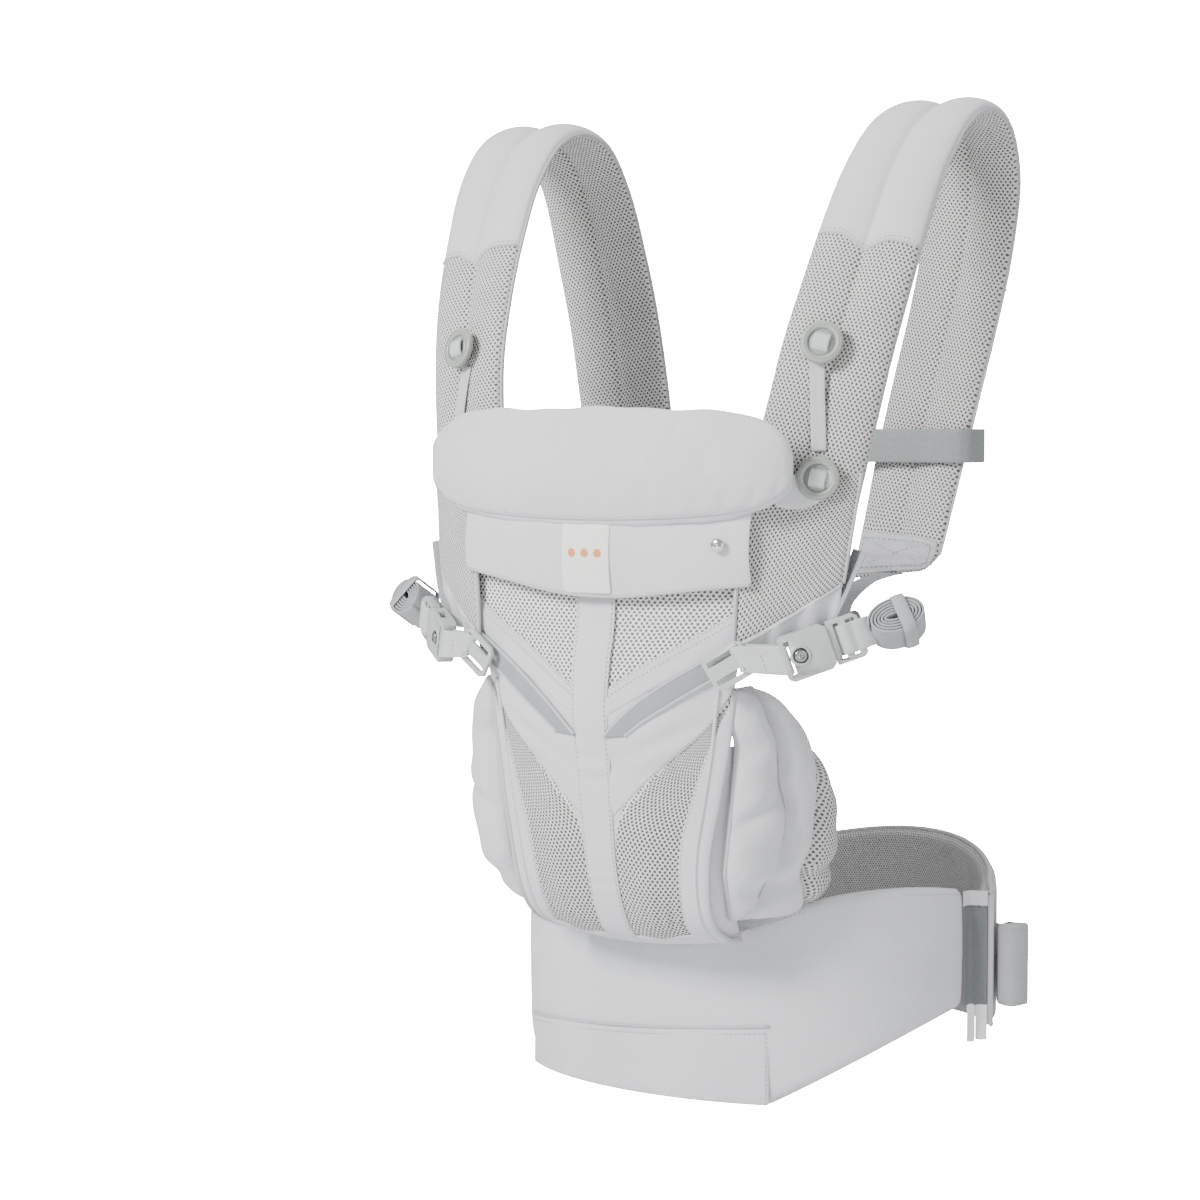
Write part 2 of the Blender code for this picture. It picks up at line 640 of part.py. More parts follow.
def build_chest_strap():
    """Webbing round each strap's back part, and the buckle between them."""
    up = Vector((0, 0, 1))
    for side, word in SIDE_NAME.items():
        face = CHEST_FACE_Y / MM
        route = [(25.4, face), (80, face), (120, face), (160, face), (169, face + 2), (173.5, face + 9)]
        route += [(173.5, 46), (166, 53), (150, 53), (128, 54), (100, 55)]
        path = [Vector((x * side, y, CHEST_HEIGHT / MM)) * MM for x, y in route]
        if side < 0:
            path[0].x = -25.6 * MM
        widths = [WEB_NARROW] * len(path)
        ribbon(f"chest_webbing_{word}", "dark_webbing", path, [up] * len(path), widths, 1.6 * MM)
    start = Vector((25 * MM, CHEST_FACE_Y, CHEST_HEIGHT))
    buckle(("chest_buckle_female", "chest_buckle_male"), start, (-1, 0, 0), up, 0.88)


def main():
    clear_scene()
    build_belt()
    build_lumbar()
    build_waist_buckle(build_waist_webbing())
    build_panel()
    build_tapes_and_guides()
    build_leg_pads()
    build_pillow()
    build_pillow_tabs()
    build_hood()
    build_straps()
    build_chest_strap()


main()
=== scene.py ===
import json
import math

import bmesh
import bpy
import numpy as np
from mathutils import Matrix, Vector


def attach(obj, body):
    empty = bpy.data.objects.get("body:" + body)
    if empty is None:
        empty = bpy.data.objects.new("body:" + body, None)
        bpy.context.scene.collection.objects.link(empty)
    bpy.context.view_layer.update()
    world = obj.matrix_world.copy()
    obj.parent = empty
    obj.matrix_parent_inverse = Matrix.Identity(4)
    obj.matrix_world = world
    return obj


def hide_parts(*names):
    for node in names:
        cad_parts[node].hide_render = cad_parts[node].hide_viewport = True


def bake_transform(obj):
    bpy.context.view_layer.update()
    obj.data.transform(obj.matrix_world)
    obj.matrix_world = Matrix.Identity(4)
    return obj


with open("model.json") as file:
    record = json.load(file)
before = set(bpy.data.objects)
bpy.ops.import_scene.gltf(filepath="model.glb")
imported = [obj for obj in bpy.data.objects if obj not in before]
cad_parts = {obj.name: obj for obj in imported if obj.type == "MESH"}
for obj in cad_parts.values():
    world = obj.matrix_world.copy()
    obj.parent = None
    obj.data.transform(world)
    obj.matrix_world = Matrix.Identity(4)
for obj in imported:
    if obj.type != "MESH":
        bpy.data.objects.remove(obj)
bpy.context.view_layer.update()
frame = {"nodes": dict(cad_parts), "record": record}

NODES = frame["nodes"]
MM = 0.001
SIDES = {1: "left_shoulder", -1: "right_shoulder"}
FLIPS = {side: np.array([side, 1, 1]) for side in SIDES}

# Camera and studio.
CAMERA_TURN, CAMERA_RISE = math.radians(33.0), math.radians(3.5)
CAMERA_LENS, CAMERA_SENSOR = 88.0, 36.0
CAMERA_DISTANCE = 2.05
CAMERA_TARGET = Vector((0, -0.205, 0.3673))
LIGHT_TARGET = Vector((0, -0.05, 0.35))
FLOOR_HALF, FLOOR_HEIGHT = 6, -0.004
AMBIENT_GLOW, BACKGROUND_GLOW, FLOOR_GLOW = 0.56, 40.0, 38.0

# Cloth and stitches.
PUFF_PRESSURE, PUFF_FRAMES = 45.0, 18
STITCH_POINTS = 200
DOT_HALF_PITCH = 5.2 * MM

# ---------------------------------------------------------------- numbers shared with the CAD

RING = (164 * MM, 113 * MM)
# The belt's middle and how far it reaches to each side, in degrees round the ring.
BELT_TURN, BELT_REACH = -10.0, 106.0
POCKET_FROM, POCKET_TO = -52, 29
LUMBAR_FROM, LUMBAR_TO = 97.0, 199.0
# Fine rows to each row of the panel's and the straps' tables.
PER_PANEL_ROW, PER_STRAP_ROW = 12, 8
# Where a strap's smooth cover ends, in rows of its table.
FRONT_SEAM_ROW, BACK_SEAM_ROW = 6.75, 13.6
PANEL_END_ROW = 13
LEG_COLUMNS, LEG_REACH = 48, 105
PILLOW_HALF, PILLOW_BACK_HALF = 149.5, 146.5
WAIST_WEB_HEIGHT, CHEST_WEB_HEIGHT = 95 * MM, 474 * MM
STRAP_END_HALF = 34.5
STRAP_ROWS = np.array([
    (112, -166, 352, 20, 10), (122, -164, 376, 20, 24), (130, -163, 402, 20, 35), (140, -160, 455, 19, 38),
    (148, -153, 500, 18, 38), (154, -144, 540, 17, 38), (160, -128, 585, 13, 38), (164, -110, 625, 10, 38),
    (168, -86, 668, 6, 38), (171, -55, 700, 3, 38), (172, -20, 712, 0, 38), (171, 14, 702, -2, 38),
    (168, 36, 668, -4, 38), (160, 44, 620, -6, 38), (149, 45, 570, -6, 38), (136, 40, 510, -6, 38),
    (124, 34, 450, -6, 37), (112, 28, 383, -6, 34),
], float)
PANEL_ROWS = np.array([
    (-198, 491, -191, 490, 117), (-204, 425, -192, 425, 118), (-207, 385, -191, 385, 117),
    (-209, 350, -193, 352, 112), (-215, 320, -192, 322, 104), (-217, 290, -190, 292, 99),
    (-212, 255, -189, 257, 95), (-207, 215, -190, 217, 91), (-201, 180, -189, 182, 87),
    (-192, 152, -184, 158, 84), (-180, 133, -174, 142, 81), (-163, 124, -160, 133, 78),
    (-145, 122, -145, 128, 75), (-126, 123, -126, 126, 73),
], float)


# ---------------------------------------------------------------- materials

class Nodes:
    """A short way to write a node tree."""

    def __init__(self, name):
        self.mat = bpy.data.materials.new(name)
        self.mat.use_nodes = True
        self.tree = self.mat.node_tree
        self.shader = self.tree.nodes["Principled BSDF"]

    def new(self, kind, props=(), **inputs):
        node = self.tree.nodes.new("ShaderNode" + kind)
        for key, value in dict(props).items():
            setattr(node, key, value)
        for key, value in inputs.items():
            self.put(node, int(key[1:]) if key[0] == "_" else key.replace("__", " "), value)
        return node

    def put(self, node, key, value):
        socket = node.inputs[key]
        if isinstance(value, bpy.types.NodeSocket):
            self.tree.links.new(value, socket)
        elif hasattr(value, "outputs"):
            self.tree.links.new(value.outputs[0], socket)
        else:
            socket.default_value = value

    def math(self, operation, a, b=0.0, c=0.0):
        return self.new("Math", {"operation": operation}, _0=a, _1=b, _2=c)

    def vec(self, operation, a, b=(0, 0, 0)):
        return self.new("VectorMath", {"operation": operation}, _0=a, _1=b)

    def ramp(self, value, low, high, to_low=0.0, to_high=1.0):
        props = {"interpolation_type": "SMOOTHSTEP"}
        return self.new("MapRange", props, Value=value, From__Min=low, From__Max=high, To__Min=to_low,
                        To__Max=to_high)

    def mix(self, share, a, b):
        node = self.new("Mix", {"data_type": "RGBA"})
        self.put(node, 0, share)
        self.put(node, 6, a)
        self.put(node, 7, b)
        return node.outputs[2]

    def noise(self, vector, scale, detail=2.0):
        return self.new("TexNoise", Vector=vector, Scale=scale, Detail=detail)

    def attribute(self, name):
        return self.new("Attribute", {"attribute_name": name})

    def place(self):
        return self.new("TexCoord").outputs["Object"]

    def weave(self):
        """The piece's own lengths across and along, in metres."""
        parts = self.new("SeparateXYZ", Vector=self.attribute("weave").outputs["Vector"])
        return parts.outputs[0], parts.outputs[1]

    def finish(self, colour, roughness, height=None, strength=0.5, distance=0.0005, sheen=0.0, metallic=0.0):
        self.put(self.shader, "Base Color", colour)
        self.put(self.shader, "Roughness", roughness)
        self.put(self.shader, "Metallic", metallic)
        self.put(self.shader, "Sheen Weight", sheen)
        self.put(self.shader, "Sheen Roughness", 0.4)
        if height is not None:
            bump = self.new("Bump", Strength=strength, Distance=distance, Height=height)
            self.put(self.shader, "Normal", bump.outputs[0])
        return self.mat


def rgb(*values):
    """sRGB from 0 to 255 as linear colour."""
    return tuple(((v / 255 + 0.055) / 1.055) ** 2.4 if v > 10 else v / 3294 for v in values) + (1.0,)


def shade(colour, factor):
    """A colour made darker or lighter."""
    return tuple(c * factor for c in colour[:3]) + (1.0,)


def tint(n, colour, spread=0.05, scale=14.0):
    """The colour, a little lighter and darker in soft patches and in fine specks."""
    place = n.place()
    broad = n.noise(place, scale, 3.0)
    fine = n.noise(place, 900.0, 1.0)
    share = n.math("MULTIPLY_ADD", fine, 0.35, n.math("MULTIPLY", broad, 0.65))
    share = n.ramp(share, 0.3, 0.7)
    return n.mix(share, shade(colour, 1 - spread), shade(colour, 1 + spread))


def weave_height(n, pitch=0.9 * MM):
    """Plain weave: threads over and under each other, from the piece's own lengths in metres."""
    across, along = n.weave()
    turns = 2 * math.pi / pitch
    x = n.math("SINE", n.math("MULTIPLY", across, turns))
    y = n.math("SINE", n.math("MULTIPLY", along, turns))
    return n.math("MULTIPLY_ADD", n.math("MULTIPLY", x, y), 0.5, 0.5)


def cell_mask(n, pitch, hole):
    """1 on the threads of an open hexagonal mesh and 0 in its holes."""
    across, along = n.weave()
    tall = pitch * math.sqrt(3) * 0.86
    wobble = n.noise(n.attribute("weave").outputs["Vector"], 160.0, 1.0)
    drift = n.math("MULTIPLY_ADD", wobble, 0.30, -0.15)
    x = n.math("ADD", n.math("DIVIDE", across, pitch), drift)
    y = n.math("ADD", n.math("DIVIDE", along, tall), drift)
    nearest = None
    for shift in (0.0, 0.5):
        fx = n.math("SUBTRACT", n.math("FRACT", n.math("ADD", x, shift)), 0.5)
        fy = n.math("SUBTRACT", n.math("FRACT", n.math("ADD", y, shift)), 0.5)
        fy = n.math("MULTIPLY", fy, 1.32)
        away = n.vec("LENGTH", n.new("CombineXYZ", X=fx, Y=fy)).outputs["Value"]
        nearest = away if nearest is None else n.math("MINIMUM", nearest, away)
    return n.ramp(nearest, hole - 0.10, hole + 0.08)


def make_fabric(name, colour, roughness=0.82):
    n = Nodes(name)
    soft = n.noise(n.place(), 60.0, 3.0)
    height = n.math("MULTIPLY_ADD", soft, 1.6, weave_height(n))
    rough = n.ramp(soft, 0.3, 0.7, roughness - 0.05, roughness + 0.05)
    return n.finish(tint(n, colour, 0.045), rough, height, 0.26, 0.5 * MM, sheen=0.12)


def make_mesh(name, thread, hole_shade, pitch=3.0 * MM, hole=0.25):
    n = Nodes(name)
    mask = cell_mask(n, pitch, hole)
    # The holes take the dark hole colour: painted shade seen through the mesh.
    colour = n.mix(mask, hole_shade, tint(n, thread, 0.06, 30.0))
    return n.finish(colour, 0.85, mask, 0.7, 0.9 * MM, sheen=0.08)


def make_strap(name, cloth, thread, hole_shade):
    """Smooth cloth where the attribute seam is above 0 and open mesh where it is below."""
    n = Nodes(name)
    mask = cell_mask(n, 3.2 * MM, 0.25)
    over = n.ramp(n.attribute("seam").outputs["Fac"], -0.0003, 0.0003)
    # The mesh holes take the dark hole colour: painted shade seen through the mesh.
    open_mesh = n.mix(mask, hole_shade, tint(n, thread, 0.06, 30.0))
    colour = n.mix(over, open_mesh, tint(n, cloth, 0.03))
    height = n.math("MULTIPLY", mask, n.math("SUBTRACT", 1.0, over))
    height = n.math("MULTIPLY_ADD", weave_height(n), n.math("MULTIPLY", over, 0.25), height)
    return n.finish(colour, 0.84, height, 0.6, 0.9 * MM, sheen=0.1)


def make_webbing(name, colour, rib=1.7 * MM, roughness=0.6):
    n = Nodes(name)
    across, along = n.weave()
    zig = n.math("PINGPONG", across, 3.2 * MM)
    slanted = n.math("ADD", along, zig)
    ribs = n.math("SINE", n.math("MULTIPLY", slanted, 2 * math.pi / rib))
    height = n.math("MULTIPLY_ADD", ribs, 0.5, 0.5)
    # The rib grooves take a darker copy of the colour: painted shade in the grooves.
    base = tint(n, colour, 0.05, 40.0)
    dark = tint(n, shade(colour, 0.86), 0.05, 40.0)
    return n.finish(n.mix(height, dark, base), roughness, height, 0.35, 0.4 * MM, sheen=0.1)


def make_plastic(name, colour, roughness):
    n = Nodes(name)
    place = n.place()
    grain = n.noise(place, 1400.0, 2.0)
    blotch = n.noise(place, 70.0, 3.0)
    rough = n.ramp(blotch, 0.3, 0.7, roughness - 0.06, roughness + 0.08)
    return n.finish(tint(n, colour, 0.04, 50.0), rough, grain, 0.12, 0.15 * MM)


def make_metal(name, colour, roughness):
    n = Nodes(name)
    scratch = n.noise(n.vec("MULTIPLY", n.place(), (900, 60, 900)), 3.0, 3.0)
    rough = n.ramp(scratch, 0.3, 0.7, roughness - 0.08, roughness + 0.1)
    return n.finish(tint(n, colour, 0.05, 90.0), rough, scratch, 0.05, 0.1 * MM, metallic=1.0)


def make_label(name):
    """A plain pale label with a generic row of three dots."""
    n = Nodes(name)
    across, along = n.weave()
    x = n.math("SUBTRACT", n.math("PINGPONG", n.math("ADD", across, DOT_HALF_PITCH), DOT_HALF_PITCH),
               DOT_HALF_PITCH)
    away = n.vec("LENGTH", n.new("CombineXYZ", X=x, Y=along)).outputs["Value"]
    inside = n.ramp(n.math("ABSOLUTE", across), 15.8 * MM, 15.4 * MM)
    mark = n.math("MULTIPLY", n.ramp(away, 3.3 * MM, 2.9 * MM), inside)
    colour = n.mix(mark, tint(n, rgb(232, 230, 226), 0.03), tint(n, rgb(214, 138, 96), 0.05))
    return n.finish(colour, 0.8, weave_height(n, 0.6 * MM), 0.2, 0.3 * MM)


CLOTH = rgb(206, 207, 210)
THREAD = rgb(201, 200, 198)
# Dark grey of the mesh holes: painted shade inside the mesh.
HOLE_SHADE = rgb(80, 78, 76)
FABRIC = make_fabric("cloth_light_grey", CLOTH)
# Binding cloth darker than the cloth so that seams, piping and edges read as dark lines: painted seam shade.
FABRIC_SHADE = make_fabric("cloth_binding_painted_shade", rgb(184, 185, 188))
# Much darker cloth for the leg pads' sewn valleys: painted shade along the valleys.
SEAM_SHADE = make_fabric("cloth_seam_painted_shade", rgb(158, 159, 162))
LINING = make_fabric("cloth_lining", rgb(190, 191, 194))
# Each mesh's dark hole colour is painted shade seen through its holes.
MESH = make_mesh("spacer_mesh", THREAD, HOLE_SHADE)
MESH_WINDOW = make_mesh("window_mesh", rgb(238, 237, 235), rgb(104, 102, 100), 3.4 * MM, 0.28)
MESH_LOWER = make_mesh("window_mesh_lower", rgb(206, 205, 203), rgb(78, 76, 74), 3.4 * MM, 0.28)
MESH_DARK = make_mesh("lumbar_mesh", rgb(192, 191, 190), rgb(118, 116, 115), 2.4 * MM, 0.24)
STRAP = make_strap("strap_shell", CLOTH, THREAD, HOLE_SHADE)
WEB = make_webbing("webbing_grey", rgb(162, 166, 168))
WEB_TAPE = make_webbing("webbing_tape", rgb(147, 151, 153))
WEB_LIGHT = make_webbing("webbing_light", rgb(196, 198, 199))
WEB_DARK = make_webbing("webbing_chest", rgb(134, 138, 139), 1.5 * MM)
STRIP_DARK = make_webbing("hook_strip", rgb(112, 116, 119), 1.2 * MM, 0.85)
# Stitch thread darker than the cloth: partly its own colour, partly painted shade along the seams.
THREADS_AND_SHADE = make_plastic("stitch_thread_and_shade", rgb(170, 171, 174), 0.7)
RING_PLASTIC = make_plastic("ring_button_plastic", rgb(152, 157, 151), 0.42)
BUCKLE = make_plastic("buckle_plastic", rgb(178, 181, 180), 0.38)
CHROME = make_metal("polished_metal", rgb(214, 214, 216), 0.18)
RELEASE = make_metal("release_metal", rgb(150, 152, 154), 0.3)
LABEL = make_label("label_weave")
TAG = make_fabric("care_tag_satin", rgb(236, 236, 236), 0.5)


def make_floor():
    """White paper, lit so that it reads as white from the camera."""
    n = Nodes("floor_paper")
    n.put(n.shader, "Emission Color", (1.0, 1.0, 1.0, 1.0))
    seen = n.new("LightPath").outputs["Is Camera Ray"]
    n.put(n.shader, "Emission Strength", n.math("MULTIPLY", seen, FLOOR_GLOW))
    return n.finish(tint(n, rgb(240, 240, 241), 0.004, 1.0), 0.9)


FLOOR = make_floor()


# ---------------------------------------------------------------- mesh helpers

def unit(v):
    """Vectors at length 1."""
    return v / np.maximum(np.linalg.norm(v, axis=-1, keepdims=True), 1e-12)


def smoothed(points, per):
    """Catmull-Rom through the rows of points, with per steps between each two."""
    p = np.vstack([2 * points[0] - points[1], points, 2 * points[-1] - points[-2]])
    found = []
    for i in range(1, len(p) - 2):
        t = np.arange(per)[:, None] / per
        a, b, c, d = p[i - 1 : i + 3]
        bend = (2 * a - 5 * b + 4 * c - d) * t**2 + (3 * b - a - 3 * c + d) * t**3
        found.append(0.5 * (2 * b + (c - a) * t + bend))
    return np.vstack(found + [points[-1:]])


def at(table, position):
    """The row of a table at a fractional position."""
    low = int(np.clip(math.floor(position), 0, len(table) - 2))
    share = position - low
    return table[low] * (1 - share) + table[low + 1] * share


def grid_normals(p):
    """Normals of a grid of points, towards whoever sees its rows run down and its columns right."""
    return unit(np.cross(np.gradient(p, axis=0), np.gradient(p, axis=1)))


def lengths(p):
    """Running length along a line of points."""
    return np.concatenate([[0], np.cumsum(np.linalg.norm(np.diff(p, axis=0), axis=1))])


def add(name, data):
    """A new object in the scene."""
    ob = bpy.data.objects.new(name, data)
    bpy.context.scene.collection.objects.link(ob)
    return ob


def build(name, verts, faces, mats, body="carrier", weave=None, attributes=(), index=None, levels=0):
    me = bpy.data.meshes.new(name)
    me.from_pydata([tuple(v) for v in verts], [], faces)
    for m in mats:
        me.materials.append(m)
    if index is not None:
        me.polygons.foreach_set("material_index", index)
    if weave is not None:
        made = me.attributes.new("weave", "FLOAT_VECTOR", "POINT")
        made.data.foreach_set("vector", np.asarray(weave, np.float32).ravel())
    for key, values in dict(attributes).items():
        made = me.attributes.new(key, "FLOAT", "POINT")
        made.data.foreach_set("value", np.asarray(values, np.float32).ravel())
    me.polygons.foreach_set("use_smooth", [True] * len(me.polygons))
    me.validate()
    bm = bmesh.new()
    bm.from_mesh(me)
    bmesh.ops.recalc_face_normals(bm, faces=bm.faces)
    bm.to_mesh(me)
    bm.free()
    ob = add(name, me)
    if levels:
        sub = ob.modifiers.new("smooth", "SUBSURF")
        sub.levels = sub.render_levels = levels
    if body:
        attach(ob, body)
    return ob


def slab(name, mid, half, mats, body="carrier", levels=1, weave=None, attributes=()):
    """A closed sheet round a grid of middle points, half thick on each side. mats: front, back and rim."""
    rows, cols = mid.shape[:2]
    n = grid_normals(mid)
    half = np.broadcast_to(half, (rows, cols))[..., None]
    front, back = mid + n * half, mid - n * half
    if weave is None:
        across = lengths(mid[rows // 2])
        down = lengths(mid[:, cols // 2])
        weave = np.stack(np.broadcast_arrays(across[None, :], down[:, None], 0.0), -1)
    number = np.arange(rows * cols).reshape(rows, cols)
    faces, index = [], []
    for offset, flip in ((0, False), (rows * cols, True)):
        q = number + offset
        for i in range(rows - 1):
            for j in range(cols - 1):
                f = (q[i, j], q[i, j + 1], q[i + 1, j + 1], q[i + 1, j])
                faces.append(tuple(int(x) for x in (f[::-1] if flip else f)))
                index.append(1 if flip else 0)
    border = list(number[0]) + list(number[1:, -1]) + list(number[-1, -2::-1]) + list(number[-2:0:-1, 0])
    for a, b in zip(border, border[1:] + border[:1]):
        faces.append((int(b), int(a), int(a) + rows * cols, int(b) + rows * cols))
        index.append(2)
    mats = list(mats) + [mats[-1]] * (3 - len(mats))
    verts = np.vstack([front.reshape(-1, 3), back.reshape(-1, 3)])
    both = {k: np.concatenate([np.ravel(v), np.ravel(v)]) for k, v in dict(attributes).items()}
    w = np.asarray(weave).reshape(-1, 3)
    return build(name, verts, faces, mats, body, np.vstack([w, w]), both, index, levels=levels)


def rim(values, soft):
    """Thickness factor from 0 to 1 for distances from an edge: a quarter round that is soft metres deep."""
    t = np.clip(values / soft, 0.0, 1.0)
    return np.sqrt(np.clip(1 - (1 - t) ** 2, 0.02, 1))


def inside(share, span):
    """Distance to the nearer end of a span, at shares from 0 to 1 of it."""
    return np.minimum(share, 1 - share) * span


def mirrored(values, side):
    """A grid's values for either side of the carrier, with its columns still running right."""
    return values if side > 0 else values[:, ::-1]


def spaced(count, dense=0.35):
    """0 to 1 in count steps, closer together at both ends."""
    t = np.linspace(0, 1, count)
    return t - dense * np.sin(2 * np.pi * t) / (2 * np.pi)


def tube(name, path, radius, mat, body="carrier", closed=False, sides=8, flat=1.0, up=None):
    """A tube along a path, or a flattened cord with flat below 1 across the up direction."""
    p = np.asarray(path, float)
    count = len(p)
    if closed:
        t = unit(np.roll(p, -1, 0) - np.roll(p, 1, 0))
    else:
        t = unit(np.gradient(p, axis=0))
    ref = np.asarray(up, float) if up is not None else np.array([0.13, 0.21, 0.97])
    ref = np.broadcast_to(ref, p.shape)
    a = unit(ref - np.sum(ref * t, 1, keepdims=True) * t)
    b = np.cross(t, a)
    radii = np.broadcast_to(radius, (count,))
    verts, weave = [], []
    run = lengths(p)
    for i in range(count):
        for k in range(sides):
            turn = 2 * math.pi * k / sides
            verts.append(p[i] + radii[i] * (a[i] * math.cos(turn) * flat + b[i] * math.sin(turn)))
            weave.append((radii[i] * turn, run[i], 0))
    faces = []
    for i in range(count if closed else count - 1):
        j = (i + 1) % count
        for k in range(sides):
            m = (k + 1) % sides
            faces.append((i * sides + k, i * sides + m, j * sides + m, j * sides + k))
    if not closed:
        faces.append(tuple(range(sides))[::-1])
        faces.append(tuple(range((count - 1) * sides, count * sides)))
    return build(name, verts, faces, [mat], body, weave)


def band(name, path, across, width, thick, mat, body="carrier", levels=1, per=4):
    """Flat webbing along a path, with across giving its width direction at each given point."""
    p = smoothed(np.asarray(path, float), per)
    w = unit(smoothed(np.asarray(across, float), per))
    width = np.interp(np.linspace(0, 1, len(p)), np.linspace(0, 1, np.size(width)), np.atleast_1d(width))
    t = unit(np.gradient(p, axis=0))
    w = unit(w - np.sum(w * t, 1, keepdims=True) * t)
    s = np.array([-1, -0.93, -0.5, 0, 0.5, 0.93, 1]) / 2
    mid = p[:, None] + w[:, None] * (s[None, :] * width[:, None])[..., None]
    half = np.array([0.55, 1, 1, 1, 1, 1, 0.55]) * thick / 2
    run = lengths(p)
    weave = np.stack(np.broadcast_arrays(s[None, :] * width[:, None], run[:, None], 0.0), -1)
    return slab(name, mid, half[None, :], [mat], body, levels, weave)


def stitches(name, path, normal, body="carrier", length=2.3 * MM, pitch=3.4 * MM, width=0.42 * MM):
    """A row of separate stitches that lie on a surface along a path."""
    p = np.asarray(path, float)
    run = lengths(p)
    nrm = np.broadcast_to(np.asarray(normal, float), p.shape)
    verts, faces = [], []
    for k in range(int(run[-1] / pitch)):
        ends = []
        for d in (k * pitch, k * pitch + length):
            ends.append(np.array([np.interp(d, run, p[:, c]) for c in range(3)]))
        up = unit(np.array([np.interp(k * pitch, run, nrm[:, c]) for c in range(3)]))
        ahead = unit(ends[1] - ends[0])
        side = np.cross(ahead, up) * width
        mid = (ends[0] + ends[1]) / 2
        base = len(verts)
        verts += [ends[0], ends[1], mid + side, mid - side, mid + up * width * 0.9, mid - up * width]
        for a, b, c in ((0, 2, 4), (2, 1, 4), (1, 3, 4), (3, 0, 4), (2, 0, 5), (1, 2, 5), (3, 1, 5),
                        (0, 3, 5)):
            faces.append((base + a, base + b, base + c))
    return build(name, verts, faces, [THREADS_AND_SHADE], body)


def puff(ob, held, cap, spare):
    """Swells a padded piece with Cloth. Points in held stay, and none moves further than cap."""
    me = ob.data
    group = ob.vertex_groups.new(name="held")
    group.add([i for i, h in enumerate(np.tile(np.ravel(held), 2)) if h], 1.0, "REPLACE")
    for m in ob.modifiers:
        m.show_viewport = False
    cloth = ob.modifiers.new("puff", "CLOTH")
    ob.modifiers.move(len(ob.modifiers) - 1, 0)
    s = cloth.settings
    s.quality = 5
    s.mass = 0.3
    s.use_pressure = True
    s.uniform_pressure_force = PUFF_PRESSURE
    s.tension_stiffness = s.compression_stiffness = 12.0
    s.shrink_min = -spare
    s.vertex_group_mass = "held"
    s.effector_weights.gravity = 0.0
    cloth.collision_settings.use_collision = False
    cloth.point_cache.frame_end = PUFF_FRAMES
    for f in range(1, PUFF_FRAMES + 1):
        bpy.context.scene.frame_set(f)
    solved = ob.evaluated_get(bpy.context.evaluated_depsgraph_get())
    new = np.empty(len(me.vertices) * 3, np.float32)
    solved.data.vertices.foreach_get("co", new)
    old = np.empty_like(new)
    me.vertices.foreach_get("co", old)
    move = (new - old).reshape(-1, 3)
    far = np.linalg.norm(move, axis=1, keepdims=True)
    move = move * (cap * np.tanh(far / cap) / np.maximum(far, 1e-9))
    ob.modifiers.remove(cloth)
    ob.vertex_groups.clear()
    bpy.context.scene.frame_set(1)
    me.vertices.foreach_set("co", (old.reshape(-1, 3) + move).ravel())
    for m in ob.modifiers:
        m.show_viewport = True
    me.update()


# ---------------------------------------------------------------- belt

def ring_points(angles, out, heights):
    """Points out metres off the waist ring, and its outward normals."""
    turn = np.radians(angles)
    foot = np.stack([RING[0] * np.sin(turn), -RING[1] * np.cos(turn), heights], -1)
    n = unit(np.stack([np.sin(turn) / RING[0], -np.cos(turn) / RING[1], 0 * turn], -1))
    return foot + n * np.asarray(out)[..., None], n


BELT_TOP = smoothed(np.array([(0, 118), (16, 119), (27, 128), (38, 139.5), (50, 150), (62, 156), (76, 157.5),
                              (90, 155), (102, 151), (106, 149.5)], float), 8)


def belt_edges(angle):
    """Heights of the belt's lower and upper edge."""
    away = np.abs(angle - BELT_TURN)
    low = 62 * MM * np.sin(np.pi / 2 * np.clip((away - 38.0) / 68.0, 0, 1))
    return low, np.interp(away, BELT_TOP[:, 0], BELT_TOP[:, 1]) * MM


def ring_grid(angles, shares, edges, out):
    """Points round the ring at each share of the height between its edges."""
    a, s = np.meshgrid(angles, shares)
    low, high = edges(a)
    z = low + (high - low) * s
    return ring_points(a, out(a, s) if callable(out) else np.full(a.shape, out), z)[0], a, s


def build_belt():
    """The padded belt with its topstitching, pocket and end."""
    ends = (BELT_TURN - BELT_REACH, BELT_TURN + BELT_REACH)
    angles = ends[0] + (ends[1] - ends[0]) * spaced(110, 0.2)
    shares = spaced(24, 0.5)[::-1]

    def out(a, s):
        crease = 1.2 * MM * np.sin(np.radians(a * 5.0) + 3 * s) * np.exp(-((s - 0.85) / 0.22) ** 2)
        belly = 2.6 * MM * np.sin(np.pi * s) * np.cos(np.radians(a - 20) * 0.8)
        return 7.0 * MM + crease * np.exp(-((a - 10) / 45.0) ** 2) + belly

    mid, a, s = ring_grid(angles, shares, belt_edges, out)
    low, high = belt_edges(a)
    from_edge = inside(s, high - low)
    from_end = np.minimum(a - ends[0], ends[1] - a) * 2.4 * MM
    half = 7.0 * MM * rim(from_edge, 9 * MM) * (0.35 + 0.65 * rim(from_end, 12 * MM))
    belt = slab("belt", mid, half, [FABRIC, MESH, FABRIC_SHADE])
    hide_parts("belt_cover", "belt_foam", "belt_lining")
    for name, share, lift in (("belt_stitch_top", 0.955, 13.6), ("belt_stitch_low", 0.045, 13.2)):
        line, along, _ = ring_grid(np.linspace(ends[0] + 3, ends[1] - 3, STITCH_POINTS), np.array([share]),
                                   belt_edges, lift * MM)
        _, n = ring_points(along[0], np.zeros(STITCH_POINTS), np.zeros(STITCH_POINTS))
        stitches(name, line[0], n)
    build_belt_pocket()
    build_belt_end(ends[1])


